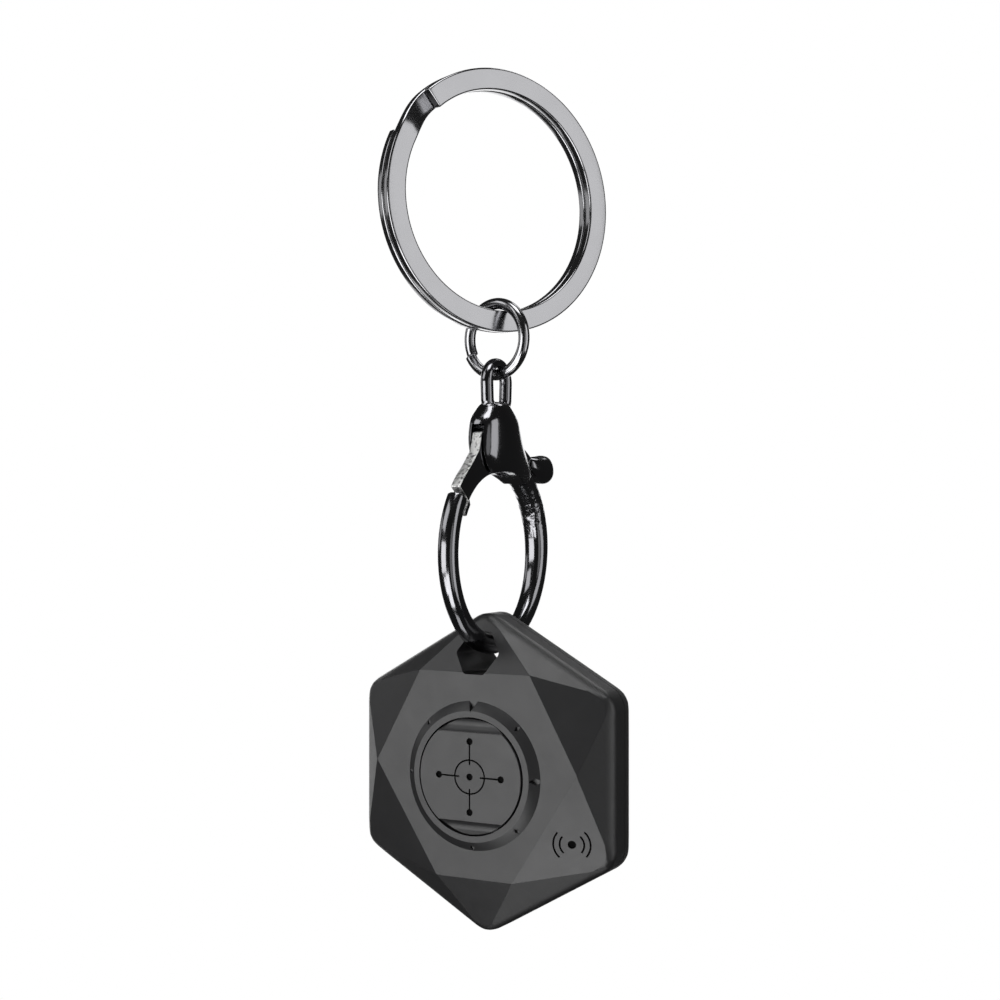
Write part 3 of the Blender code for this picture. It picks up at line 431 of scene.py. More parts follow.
def painted_floor_shade(name):
    """The floor of an engraved line: unpolished, so it hardly reflects, and coloured near black as painted
    shade in the recess.
    """
    material, tree, shader = new_material(name, (0.004, 0.004, 0.004), 0.9, 0.0)
    shader.inputs["Specular IOR Level"].default_value = 0.1
    grain = noise(tree, coordinates(tree), 5000.0)
    mottle(tree, shader, grain, (0.002, 0.002, 0.002), (0.006, 0.006, 0.006))
    bump(tree, shader, grain, 0.01 * MM, 0.5)
    return material


def patch_mask(tree, middle, radius):
    """1 at the middle of a soft round patch and 0 beyond its radius."""
    inputs = {0: coordinates(tree), 1: middle}
    away = add_node(tree, "ShaderNodeVectorMath", inputs, operation="DISTANCE")
    return remap(tree, away.outputs["Value"], PATCH_CORE * radius, radius, 1.0, 0.0)


def black_nickel(name, colour, roughness, scratch=0.04, rough_patch=None):
    """Polished black nickel plate: fine random scratches and slight waviness under the plate.

    A rough patch, given as (middle, radius), is left as cast under the plate.
    """
    material, tree, shader = new_material(name, colour, roughness, 1.0)
    vector = coordinates(tree)
    scratches = noise(tree, coordinates(tree, (1.0, 1.0, 9.0)), 2600.0, detail=5.0, rough=0.7)
    smudge = noise(tree, vector, 260.0)
    wave = noise(tree, vector, 330.0, detail=2.0, rough=0.4)
    tint = tuple(part * SMUDGE_TINT for part in colour)
    mottle(tree, shader, remap(tree, smudge, 0.35, 0.7), colour, tint)
    marks = remap(tree, scratches, 0.42, 0.72, 0.0, scratch)
    haze = remap(tree, smudge, 0.3, 0.7, roughness - 0.02, roughness + 0.03)
    ripple = calculate(tree, wave, "MULTIPLY", 0.8)
    height = calculate(tree, ripple, "ADD", calculate(tree, scratches, "MULTIPLY", 0.05))
    if rough_patch:
        mask = patch_mask(tree, *rough_patch)
        grain = remap(tree, noise(tree, vector, 1500.0, detail=2.0, rough=0.45), 0.3, 0.7, -3.0, 3.0)
        height = calculate(tree, height, "ADD", calculate(tree, grain, "MULTIPLY", mask))
        haze = calculate(tree, haze, "ADD", calculate(tree, mask, "MULTIPLY", 0.05))
    tree.links.new(calculate(tree, marks, "ADD", haze), shader.inputs["Roughness"])
    bump(tree, shader, height, 0.02 * MM, 0.5)
    return material


def rough_casting(name):
    """The lever's as-cast edges under thin plate: pits, grains and dark stains."""
    material, tree, shader = new_material(name, (0.4, 0.4, 0.4), 0.34, 1.0)
    vector = coordinates(tree)
    lumps = noise(tree, vector, 2600.0, detail=6.0, rough=0.7)
    pits = add_node(tree, "ShaderNodeTexVoronoi", {"Vector": vector, "Scale": 1500.0})
    hollow = remap(tree, pits.outputs["Distance"], 0.0, 0.35)
    stain = remap(tree, noise(tree, vector, 1500.0, detail=5.0, rough=0.7), 0.5, 0.6)
    mottle(tree, shader, stain, (0.85, 0.85, 0.84), (0.16, 0.16, 0.16))
    vary_roughness(tree, shader, lumps, 0.3, 0.7, 0.35, 0.6)
    height = calculate(tree, lumps, "ADD", calculate(tree, hollow, "MULTIPLY", 0.5))
    bump(tree, shader, height, 0.09 * MM, 0.8)
    return material


def bright_metal(name, colour, roughness):
    """Steel or plated brass with a fine drawn grain."""
    material, tree, shader = new_material(name, colour, roughness, 1.0)
    grain = noise(tree, coordinates(tree, (1.0, 1.0, 12.0)), 1800.0, detail=5.0, rough=0.65)
    smudge = noise(tree, coordinates(tree), 300.0)
    dull = tuple(part * 0.75 for part in colour)
    mottle(tree, shader, remap(tree, smudge, 0.3, 0.75), colour, dull)
    vary_roughness(tree, shader, grain, 0.3, 0.7, roughness - 0.06, roughness + 0.1)
    bump(tree, shader, grain, 0.006 * MM, 0.6)
    return material


def soft_rubber(name):
    material, tree, shader = new_material(name, (0.02, 0.02, 0.02), 0.75, 0.0)
    grain = noise(tree, coordinates(tree), 5000.0, detail=5.0, rough=0.7)
    vary_roughness(tree, shader, grain, 0.3, 0.7, 0.62, 0.85)
    bump(tree, shader, grain, 0.02 * MM, 0.7)
    return material


def board_laminate(name):
    """Green solder resist over copper tracks."""
    material, tree, shader = new_material(name, (0.015, 0.09, 0.035), 0.3, 0.0)
    tracks = add_node(tree, "ShaderNodeTexBrick", {
        "Vector": coordinates(tree),
        "Scale": 420.0,
        "Mortar Size": 0.02,
        "Color1": (0.012, 0.075, 0.03, 1.0),
        "Color2": (0.018, 0.11, 0.045, 1.0),
        "Mortar": (0.05, 0.2, 0.08, 1.0),
    })
    tree.links.new(tracks.outputs["Color"], shader.inputs["Base Color"])
    vary_roughness(tree, shader, noise(tree, coordinates(tree), 2200.0), 0.3, 0.7, 0.22, 0.4)
    bump(tree, shader, tracks.outputs["Fac"], 0.02 * MM, 0.6)
    return material


def fired_ceramic(name):
    material, tree, shader = new_material(name, (0.72, 0.7, 0.66), 0.45, 0.0)
    speck = noise(tree, coordinates(tree), 3000.0, detail=5.0, rough=0.7)
    mottle(tree, shader, speck, (0.66, 0.64, 0.6), (0.78, 0.77, 0.73))
    bump(tree, shader, speck, 0.02 * MM, 0.5)
    return material


# ---- Keyring hardware ----


def flat_wire_frames(count_per_turn=220):
    """The split ring's path: a full turn in the front layer, a step, and a full turn behind it."""
    normal, right = heading(SPLIT_AZIMUTH)
    radius = SPLIT_OUTER_R - SPLIT_BAND / 2
    centre = Vector((0.0, 0.0, SPLIT_CENTRE.z))
    layer = (SPLIT_WIRE_T + SPLIT_TURN_GAP) / 2
    turn = math.tau - SPLIT_STEP
    total = 2 * turn + SPLIT_STEP
    count = round(count_per_turn * total / math.tau)
    frames = []
    for i in range(count + 1):
        travel = total * i / count
        step = min(max((travel - turn) / SPLIT_STEP, 0.0), 1.0)
        offset = layer * math.cos(math.pi * step)
        angle = SPLIT_FRONT_END + travel
        outward = right * math.sin(angle) + UP * math.cos(angle)
        frames.append((centre + outward * radius + normal * offset, outward, normal))
    return frames


def shrink(section, inset):
    """Draw a section's points in towards its two axes."""
    return [
        tuple(math.copysign(max(abs(part) - inset, 0.0), part) for part in point)
        for point in section
    ]


def rounded_ends(frames, section, depth, steps=4):
    """Frames and sections with extra stations that round both cut ends."""
    first, second = frames[0], frames[1]
    last, before = frames[-1], frames[-2]
    start = (first[0] - second[0]).normalized()
    stop = (last[0] - before[0]).normalized()
    head, tail = [], []
    for i in range(steps):
        angle = math.radians(90.0 * (i + 1) / steps)
        reach = math.sin(angle) * depth
        shrunk = shrink(section, (1.0 - math.cos(angle)) * depth)
        head.insert(0, ((first[0] + start * reach, first[1], first[2]), shrunk))
        tail.append(((last[0] + stop * reach, last[1], last[2]), shrunk))
    all_frames = [frame for frame, _ in head] + frames + [frame for frame, _ in tail]
    all_sections = [s for _, s in head] + [section] * len(frames) + [s for _, s in tail]
    return sweep(all_frames, all_sections)


def make_split_ring(material):
    """Two turns of flat wire with rounded edges and ends."""
    section = rounded_box(SPLIT_BAND / 2, SPLIT_WIRE_T / 2, SPLIT_EDGE, 5)
    rings = rounded_ends(flat_wire_frames(), section, SPLIT_END)
    ring = make_object("key_ring", loft(rings), RING_SMOOTH)
    return finish_piece(ring, "split_ring", material, "ring_metal", "split_ring")


def make_jump_ring(material):
    """Round wire bent to a ring, its two ends a little out of line at the cut."""
    normal, right = heading(JUMP_AZIMUTH)
    centre = Vector((0.0, 0.0, JUMP_CENTRE_Z))
    total = math.tau - JUMP_CUT
    count = 180
    frames = []
    for i in range(count + 1):
        part = i / count
        angle = JUMP_CUT_AT + JUMP_CUT / 2 + total * part
        outward = right * math.sin(angle) + UP * math.cos(angle)
        offset = JUMP_OFFSET * (2 * part - 1) ** 5
        frames.append((centre + outward * JUMP_R + normal * offset, outward, normal))
    section = superellipse(JUMP_WIRE_R, JUMP_WIRE_R, 1.0, 32)
    ring = make_object("link_ring", loft(rounded_ends(frames, section, JUMP_END)), RING_SMOOTH)
    return finish_piece(ring, "jump_ring", material, "ring_metal", "jump_ring")


# ---- Clasp ----

EYE_TOP_HALF = 0.6 * MM
EYE_SIDE_HALF = 0.8 * MM
EYE_R = 2.4 * MM
EYE_PLAY = 0.15 * MM
EYE_TOP_Z = JUMP_BOTTOM + JUMP_WIRE_R + EYE_PLAY + EYE_TOP_HALF
EYE_NARROW = 0.95                    # the bow's legs stand this much closer together at their foot
EYE_FOOT = (1.5 * MM, -39.6 * MM)
EYE_LEG = 2.2 * MM
LOOP_TIP = math.radians(144.0)
LOOP_ROOT = math.radians(447.0)
LOOP_THIN = 1.2 * MM
LOOP_THICK = 1.5 * MM
LOOP_SWELL_AT = math.radians(285.0)
LOOP_SWELL_OVER = math.radians(100.0)
ARCH_HALF = 5.0 * MM
CHEEK_SECTIONS = (                   # height, left edge, right edge, half thickness (mm)
    (-37.9, -1.9, 1.3, 0.85),
    (-38.2, -2.75, 1.95, 1.4),
    (-38.8, -3.4, 2.5, 1.8),
    (-40.05, -4.5, 3.6, 2.3),
    (-41.4, -4.9, 4.1, 2.45),
    (-43.0, -5.0, 4.8, 2.5),
    (-44.6, -4.7, 6.0, 2.4),
    (-46.2, -3.6, 7.7, 2.1),
    (-47.8, -1.6, 8.5, 1.5),
)
SLOT_HALF = 0.85 * MM
SLOT_ROOF_Z = -40.7 * MM
SLOT_ROOF_HALF = 9.0 * MM
SLOT_OUTLINE = ((14.0, -46.0), (10.0, -47.2), (6.0, -45.2), (2.5, -45.5), (2.0, -49.0), (-9.0, -49.0))
PIN_R = 0.55 * MM
PIN_HALF = 1.3 * MM
PIN_EDGE = 0.08 * MM
PIN_FIT = 0.05 * MM
PIN_PLAY = 0.08 * MM
LEVER_HALF = 0.65 * MM
LEVER_HUB_R = 1.9 * MM
LEVER_HUB_ANGLES = (60.0, 125.0)
LEVER_EDGE = 0.14 * MM
KNOB_PLACE = Vector((0.0, 11.5 * MM, -46.0 * MM))
KNOB_LEAN = math.radians(12.0)
KNOB_STATIONS = (                    # distance along the knob, rise, half height, half width (mm)
    (-3.5, 1.3, 0.8, 0.8),
    (-3.2, 1.25, 1.05, 1.1),
    (-2.2, 0.8, 1.4, 1.45),
    (-1.0, 0.3, 1.75, 1.65),
    (0.3, 0.0, 1.9, 1.8),
    (1.2, 0.0, 1.65, 1.5),
    (1.7, 0.0, 1.15, 1.05),
    (1.95, 0.0, 0.55, 0.55),
)
ARCH_PATCH = (Vector((-0.6 * MM, 7.9 * MM, -50.4 * MM)), 4.6 * MM)      # left rough inside the arch
GATE_ANGLES = (125.0, 140.5, 151.0)  # shoulder, nose and tongue, in degrees round the hook
GATE_END = 96.0
GATE_INNER = 1.6 * MM
TONGUE_TOP = 1.45 * MM
TONGUE_BOTTOM = 2.2 * MM
GATE_TOP = ((-3.6, -41.5), (-4.75, -41.7), (-5.5, -43.9))
TONGUE_ROOT = 2.0
THUMB_ARM = (
    (1.2, -45.2), (4.0, -44.9), (7.0, -44.8), (8.6, -45.9), (8.9, -44.9), (7.0, -43.8), (4.4, -42.4),
)
SPRING_Y = 3.0 * MM
SPRING_R = 0.42 * MM
SPRING_WIRE_R = 0.11 * MM
SPRING_Z = (-41.8 * MM, SLOT_ROOF_Z - 0.17 * MM)
SPRING_TURNS = 4
CAST_VOXEL = 0.1 * MM
CAST_SMOOTH = 40.0
EDGE_SMOOTH = 30.0
CHEEK_FACING = 0.9                   # faces that look this much sideways are the lever's polished cheeks


def between(rows, count):
    """Smooth values through the rows, evenly spread in row number."""
    values = []
    for i in range(count + 1):
        place = (len(rows) - 1) * i / count
        k = min(int(place), len(rows) - 2)
        t = place - k
        p0, p1, p2, p3 = rows[max(k - 1, 0)], rows[k], rows[k + 1], rows[min(k + 2, len(rows) - 1)]
        values.append(tuple(
            b + 0.5 * t * (c - a + t * (2 * a - 5 * b + 4 * c - d + t * (3 * (b - c) + d - a)))
            for a, b, c, d in zip(p0, p1, p2, p3)
        ))
    return values


def loop_half(angle):
    """Half thickness of the hook's arm, thin at the bottom and thick towards the bulb."""
    rise = min(max((angle - LOOP_SWELL_AT) / LOOP_SWELL_OVER, 0.0), 1.0)
    ease = rise * rise * (3.0 - 2.0 * rise)
    return LOOP_THIN + (LOOP_THICK - LOOP_THIN) * ease


def hook_arm():
    """The round arm of the hook, from its tip at the gate round to the bulb."""
    count = 170
    frames, sections = [], []
    for i in range(count + 1):
        angle = LOOP_TIP + (LOOP_ROOT - LOOP_TIP) * i / count
        outward = Vector((0.0, math.cos(angle), math.sin(angle)))
        frames.append((Vector((0.0, LOOP_CENTRE_Y, LOOP_CENTRE_Z)) + outward * LOOP_R, outward, ALONG_X))
        half = loop_half(angle)
        sections.append(superellipse(half, half, 0.9, 36))
    return loft(sweep(frames, sections))


def eye_bow():
    """The fixed eye: an arch on two legs, thinnest where the jump ring hangs it."""
    side_z = EYE_TOP_Z - EYE_R
    foot_y, foot_z = EYE_FOOT
    leg = (EYE_R * EYE_NARROW, side_z - EYE_LEG)
    path = [(-foot_y, foot_z), (-leg[0], leg[1])]
    arc_steps = 36
    for i in range(arc_steps + 1):
        angle = math.pi - math.pi * i / arc_steps
        path.append((EYE_R * math.cos(angle), side_z + EYE_R * math.sin(angle)))
    path += [leg, (foot_y, foot_z)]
    frames, sections = [], []
    for i, (y, z) in enumerate(path):
        before = path[max(i - 1, 0)]
        after = path[min(i + 1, len(path) - 1)]
        along = Vector((0.0, after[0] - before[0], after[1] - before[1])).normalized()
        across = Vector((0.0, -along.z, along.y))
        frames.append((Vector((0.0, y, z)), across, ALONG_X))
        height = max((z - side_z) / EYE_R, 0.0)
        half = EYE_SIDE_HALF + (EYE_TOP_HALF - EYE_SIDE_HALF) * height
        sections.append(superellipse(half, EYE_SIDE_HALF, 1.0, 28))
    return loft(sweep(frames, sections))


def bulb():
    """The teardrop bulb, skinned over its cheek sections."""
    rings = []
    for height, left, right, half in between(CHEEK_SECTIONS, 56):
        centre = Vector((0.0, (left + right) / 2 * MM, height * MM))
        section = superellipse((right - left) / 2 * MM, half * MM, 0.85, 64)
        rings.append([centre + Vector((v, u, 0.0)) for u, v in section])
    return make_object("clasp_casting", loft(rings))


def rod(radius, half_length, y, z, steps=48):
    """A round rod along X, centred on the chain's plane."""
    return prism(circle((y, z), radius, steps), -half_length, half_length, "X")


def make_clasp(material):
    """The casting: bulb, hook and eye run together, then the lever's slot cut through it."""
    casting = bulb()
    carve(casting, rod(LOOP_R - LOOP_THICK, ARCH_HALF, LOOP_CENTRE_Y, LOOP_CENTRE_Z, 160))
    weld(casting, hook_arm())
    weld(casting, eye_bow())
    remesh = casting.modifiers.new("cast", "REMESH")
    remesh.mode = "VOXEL"
    remesh.voxel_size = CAST_VOXEL
    soften = casting.modifiers.new("soften", "SMOOTH")
    soften.factor = 0.6
    soften.iterations = 5
    apply_modifiers(casting)
    roof = [(-SLOT_ROOF_HALF, SLOT_ROOF_Z), (SLOT_ROOF_HALF, SLOT_ROOF_Z)]
    carve(casting, prism(roof + in_mm(SLOT_OUTLINE), -SLOT_HALF, SLOT_HALF, "X"))
    carve(casting, rod(PIN_R + PIN_FIT, PIN_HALF + PIN_FIT, PIN_Y, PIN_Z))
    apply_modifiers(casting, CAST_SMOOTH)
    return finish_piece(casting, "clasp", material, "clasp_metal", "clasp_body")


def make_pin(material):
    pin = make_object("lever_rivet", rod(PIN_R, PIN_HALF, PIN_Y, PIN_Z, 40))
    bevel(pin, PIN_EDGE, 3)
    apply_modifiers(pin, EDGE_SMOOTH)
    return finish_piece(pin, "clasp", material, "pin_steel", "lever_pin")


def make_spring(material):
    """The coil that closes the gate, wound up to just under the slot's roof."""
    steps = 28
    count = SPRING_TURNS * steps
    low, high = SPRING_Z
    frames = []
    for i in range(count + 1):
        part = i / count
        angle = math.tau * SPRING_TURNS * part
        outward = Vector((math.cos(angle), math.sin(angle), 0.0))
        place = Vector((0.0, SPRING_Y, low + (high - low) * part))
        frames.append((place + outward * SPRING_R, outward, UP))
    section = superellipse(SPRING_WIRE_R, SPRING_WIRE_R, 1.0, 14)
    spring = make_object("gate_spring", loft(sweep(frames, [section] * len(frames))))
    finish_piece(spring, "clasp", material, "spring_steel", "lever_spring")
    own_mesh(spring)
    return spring


def loop_arc(radius, first, last, steps):
    """Points (y, z) on a circle about the hook's centre, between two angles in degrees."""
    return arc((LOOP_CENTRE_Y, LOOP_CENTRE_Z), radius, first, last, steps)


def lever_outline():
    """The gate lever seen along X: gate arm, tongue inside the hook's tip, hub and thumb arm."""
    shoulder, nose, tongue = GATE_ANGLES
    points = in_mm(GATE_TOP)
    points += loop_arc(LOOP_R + LOOP_THIN, shoulder, nose, 8)
    points += loop_arc(LOOP_R - TONGUE_TOP, nose, tongue, 5)
    points += loop_arc(LOOP_R - TONGUE_BOTTOM, tongue, nose, 5)
    points += loop_arc(LOOP_R - GATE_INNER, nose - TONGUE_ROOT, GATE_END, 18)
    points += in_mm(THUMB_ARM)
    points += arc((PIN_Y, PIN_Z), LEVER_HUB_R, *LEVER_HUB_ANGLES, 8)
    return points


def thumb_knob():
    """A rounded thumb piece on a thick neck, lofted along its own axis, which leans up and outwards."""
    along = Vector((0.0, math.cos(KNOB_LEAN), math.sin(KNOB_LEAN)))
    across = Vector((0.0, -along.z, along.y))
    frames, sections = [], []
    for distance, rise, half_height, half_width in between(KNOB_STATIONS, 42):
        frames.append((KNOB_PLACE + along * distance * MM + across * rise * MM, across, ALONG_X))
        sections.append(superellipse(half_height * MM, half_width * MM, 0.9, 44))
    return make_object("knob", loft(sweep(frames, sections)))


def make_lever(material, polished):
    """The gate lever, rough as cast; its thumb knob is a polished, plated piece of its own."""
    lever = make_object("gate_arm", prism(lever_outline(), -LEVER_HALF, LEVER_HALF, "X"))
    carve(lever, rod(PIN_R + PIN_PLAY, 2.0 * LEVER_HALF, PIN_Y, PIN_Z))
    bevel(lever, LEVER_EDGE, 3, 35.0)
    apply_modifiers(lever, EDGE_SMOOTH)
    finish_piece(lever, "lever", material, "lever_metal", "gate_lever")
    lever.data.materials.append(polished)
    for face in lever.data.polygons:
        if abs(face.normal.x) > CHEEK_FACING:
            face.material_index = 1
    finish_piece(thumb_knob(), "lever", polished, "lever_metal", "gate_lever")
    return lever


# ---- Tag shells ----

TAG_CORNER_R = 3.2 * MM
SIDE_HALF = math.radians(30.0)       # half of what one side of the hexagon spans, seen from its middle
TAG_RIM = 1.9 * MM
REAR_RIM = 2.7 * MM
RIM_ROUND = 0.9 * MM
RIM_STEPS = 12
CORNER_STEPS = 18
RIDGE_WIDTH = 0.07 * MM
FRONT_FACET = ((7.45, 12.3), (13.6, 1.0), (5.15, -12.3))      # right half, top to bottom (mm)
REAR_FACET = ((7.6, 12.3), (14.4, -1.0), (6.4, -13.6))
HOLE_HALF_H = 2.5 * MM
HOLE_SIDE = 2.95 * MM
HOLE_TOP_HALF = 1.35 * MM
HOLE_Z = TAG_Z + 14.54 * MM
HOLE_ROUND = 0.35 * MM
HOLE_EDGE = 0.12 * MM
HOLE_REACH = 8.0 * MM
HOLE_EDGE_ANGLE = math.radians(25.0)
BEYOND = 1.0 * MM                    # how far a cutter reaches past the face that it opens
BEZEL_OUTER_R = 8.9 * MM
BEZEL_TOP_R = 7.75 * MM
BEZEL_ROOT_Y = -4.2 * MM
BEZEL_EDGE = (0.07 * MM, 0.03 * MM)
BEZEL_FOOT = 0.02 * MM               # how far the cone stands straight up before it slopes
BEZEL_CUT_PAST = 0.5 * MM
BEZEL_NOTCH = ((-0.75, 9.3), (0.75, 9.3), (0.0, 7.6))
TICK_ANGLES = (0.0, 45.0, 135.0, 180.0, 270.0, 315.0)
TICK_R = BEZEL_TOP_R + 0.72 * MM
TICK_SIZE = (0.35 * MM, 0.3 * MM)
TICK_FLOOR = 0.05 * MM
DIAMOND_SIZE = (0.75 * MM, 0.4 * MM)
BUTTON_HOLE_R = 7.05 * MM
BUTTON_R = 6.85 * MM
BUTTON_EDGE = (0.12 * MM, 0.035 * MM)
BUTTON_FACE_Y = BEZEL_Y - 0.18 * MM
BUTTON_FLANGE_R = 8.2 * MM
BUTTON_FLANGE_Y = (-3.5 * MM, -2.9 * MM)
BUTTON_BAND = 5.3 * MM
BAND_REACH = 7.5 * MM
BAND_GROOVE = 0.12 * MM
DISH_STEP = 0.15 * MM
DISH_DEPTH = 0.4 * MM
DISH_WIDTH = 1.7 * MM
MARK_RING_R = 2.0 * MM
MARK_REACH = 4.2 * MM
MARK_TICK = 0.6 * MM
MARK_LINE = 0.2 * MM
MARK_DOT_R = 0.42 * MM
MARK_DEPTH = 0.25 * MM
MARK_ABOVE = 0.5 * MM
ICON_PLACE = (12.4 * MM, -7.2 * MM)
ICON_ARCS = (1.45 * MM, 2.2 * MM)
ICON_HALF = math.radians(44.0)
ICON_LINE = 0.22 * MM
ICON_DOT_R = 0.5 * MM
ICON_DEPTH = 0.2 * MM
FLANGE_ROOM_R = 9.4 * MM
FLANGE_ROOM_Y = (-3.75 * MM, -2.1 * MM)
BOARD_ROOM = ((11.9, -2.6), (11.9, -0.95), (12.8, -0.95))      # radius and level of its steps (mm)
LIP_R = 12.6 * MM
LIP_Y = (0.2 * MM, 1.5 * MM)
CELL_ROOM_R = 10.35 * MM
CHANNEL_R = 11.6 * MM
THROAT_R = 10.95 * MM
COVER_ROOM_R = 11.5 * MM
COVER_ROOM_EDGE = 0.12 * MM
NOTCH_R = (9.85 * MM, 11.5 * MM)
NOTCH_HALF = math.radians(14.0)
NOTCH_MARGIN = 0.2 * MM
SCREW_CORNER = 15.2 * MM
SCREW_ANGLES = (30.0, 150.0, 210.0, 330.0)
SCREW_HEAD_R = 1.15 * MM
SCREW_SHANK_R = 0.6 * MM
SCREW_HEAD_Y = (2.15 * MM, 2.95 * MM)
SCREW_TIP_Y = -0.6 * MM
SCREW_TIP_R = SCREW_SHANK_R * 0.6
SCREW_TIP_LENGTH = 0.5 * MM
SCREW_EDGE = (0.2 * MM, 0.06 * MM, 0.08 * MM)
SCREW_SEAT_Y = 2.0 * MM
SCREW_BORE_R = 0.7 * MM
SCREW_BORE_PAST = 0.3 * MM
SCREW_WELL_R = 1.35 * MM
DRIVE_ARM = 0.14 * MM
DRIVE_REACH = 0.65 * MM
DRIVE_DEPTH = 0.45 * MM
CHANNEL_Y = (1.7 * MM, 2.75 * MM)
COVER_SEAT_Y = 3.35 * MM
COVER_R = 11.3 * MM
COVER_EDGE = (0.25 * MM, 0.07 * MM, 0.08 * MM)
COVER_Y = (3.85 * MM, TAG_FACE - 0.15 * MM)
SKIRT_R = (10.3 * MM, 10.75 * MM)
SKIRT_ROOT = 0.2 * MM                # how far the skirt reaches into the disc
LUG_Y = (2.0 * MM, 2.6 * MM)
LUG_REST = math.radians(60.0)
LUG_TURN = math.radians(30.0)
LUG_R = 11.4 * MM
LUG_HALF = math.radians(11.0)
LUG_ROOT = 0.1 * MM
COIN_SLOT_HALF = 4.5 * MM
COIN_SLOT_WIDE = 1.7 * MM
COIN_SLOT_DEPTH = 0.5 * MM
COIN_SLOT_EDGE = 0.3 * MM
SEAL_R = (11.0 * MM, 11.3 * MM)
SEAL_Y = (3.42 * MM, 3.77 * MM)
SEAL_EDGE = 0.08 * MM
SHELL_SMOOTH = 34.0
CAP_SMOOTH = 28.0
SHELL_SOLVER = "MANIFOLD"
SEAM_WIDTH = 0.1 * MM                # groove of the parting line, all round the tag's side
SEAM_DEPTH = 0.6 * MM
SEAM_CLEAR = 0.01 * MM
TOLERANCE = 0.01 * MM
FLOOR_FACING = 0.99


def corner_direction(k):
    """Outline corners run clockwise from the top, seen from the front."""
    angle = math.radians(90.0 - 60.0 * k)
    return math.cos(angle), math.sin(angle)


def plane_depth(a, b, c):
    """Depth of the plane through three (x, z, depth) points, as a function of x and z."""
    normal = (Vector(b) - Vector(a)).cross(Vector(c) - Vector(a))

    def depth(x, z):
        return a[2] - (normal.x * (x - a[0]) + normal.y * (z - a[1])) / normal.z

    return depth


def lowest(planes, place):
    """Depth of the surface where several facets meet: the shallowest plane wins."""
    return min(plane(place.x, place.y) for plane in planes)


def ridge_foot(vertex, corner, angle):
    """Core point of the place where a ridge crosses the inset edge that faces the angle."""
    normal = Vector((math.cos(angle), math.sin(angle)))
    start, end = Vector(vertex), Vector(corner)
    level = TAG_APOTHEM - RIM_ROUND
    part = (level - start.dot(normal)) / (end.dot(normal) - start.dot(normal))
    return start.lerp(end, part) - normal * (TAG_CORNER_R - RIM_ROUND)


def facet_ring(half_facet):
    """A central facet's six vertices, clockwise from the upper left."""
    right = in_mm(half_facet)
    left = [(-x, z) for x, z in reversed(right)]
    return [left[-1], *right, *left[:-1]]


def sharp_corners():
    """The outline's six corners as they would be without their rounds."""
    circumradius = TAG_APOTHEM / math.cos(SIDE_HALF)
    return [tuple(circumradius * part for part in corner_direction(k)) for k in range(6)]


def outline_stations(inner, rim, face):
    """Points round the outline: core point, outward angle and the planes of the facets near it."""
    core_radius = (TAG_APOTHEM - TAG_CORNER_R) / math.cos(SIDE_HALF)
    corners = sharp_corners()
    sides = []
    for k in range(6):
        sides.append(plane_depth((*inner[k], face), (*corners[k - 1], rim), (*corners[k], rim)))
    rows = []
    for k in range(6):
        before, after = inner[k], inner[(k + 1) % 6]
        tip = plane_depth((*before, face), (*after, face), (*corners[k], rim))
        planes = (sides[k], tip, sides[(k + 1) % 6])
        core = Vector(corner_direction(k)) * core_radius
        middle = math.radians(90.0 - 60.0 * k)
        start, end = middle + SIDE_HALF, middle - SIDE_HALF
        row = [(ridge_foot(before, corners[k], start), start, planes)]
        for i in range(CORNER_STEPS + 1):
            row.append((core, start + (end - start) * i / CORNER_STEPS, planes))
        row.append((ridge_foot(after, corners[k], end), end, planes))
        rows.append(row)
    return rows


def faceted_half(half_facet, rim, face, outward, parting, land=None):
    """One half of the tag as a closed solid, from its parting plane out to its faceted face.

    A land is the level to which the half comes up inside the groove of the parting line.
    """
    inner = facet_ring(half_facet)
    rows = outline_stations(inner, rim, face)
    stations = [station for row in rows for station in row]
    bm = bmesh.new()

    def vertex(x, z, y):
        return bm.verts.new((x, y, TAG_Z + z))

    facet = [vertex(x, z, outward * face) for x, z in inner]
    rings = []
    for j in range(RIM_STEPS + 1):
        s = j / RIM_STEPS
        ring = []
        for core, angle, planes in stations:
            normal = Vector((math.cos(angle), math.sin(angle)))
            sharp = lowest(planes, core + normal * TAG_CORNER_R)
            inset = lowest(planes, core + normal * (TAG_CORNER_R - RIM_ROUND))
            place = core + normal * (TAG_CORNER_R - RIM_ROUND * (1.0 - s) ** 2)
            level = (1.0 - s) ** 2 * inset + 2.0 * s * (1.0 - s) * sharp + s * s * (sharp - RIM_ROUND)
            ring.append(vertex(*place, outward * level))
        rings.append(ring)
    outline = [(v.co.x, v.co.z - TAG_Z) for v in rings[-1]]
    rings.append([vertex(x, z, parting) for x, z in outline])
    if land is not None:
        inset = 1.0 - SEAM_DEPTH / TAG_APOTHEM
        rings.append([vertex(inset * x, inset * z, parting) for x, z in outline])
        rings.append([vertex(inset * x, inset * z, land) for x, z in outline])
    bm.faces.new(facet)
    per_corner = len(rows[0])
    for k in range(6):
        corner_arc = rings[0][k * per_corner:(k + 1) * per_corner]
        bm.faces.new([facet[(k + 1) % 6], facet[k], *corner_arc])
        next_foot = rings[0][(k + 1) * per_corner % len(stations)]
        bm.faces.new([facet[(k + 1) % 6], corner_arc[-1], next_foot])
    for near, far in zip(rings, rings[1:]):
        for i, start in enumerate(near):
            j = (i + 1) % len(near)
            bm.faces.new((start, near[j], far[j], far[i]))
    bm.faces.new(rings[-1])
    bmesh.ops.recalc_face_normals(bm, faces=bm.faces)
    ridges = {edge for v in facet for edge in v.link_edges}
    bmesh.ops.bevel(bm, geom=list(ridges), offset=RIDGE_WIDTH, segments=2, profile=0.5, affect="EDGES")
    return bm


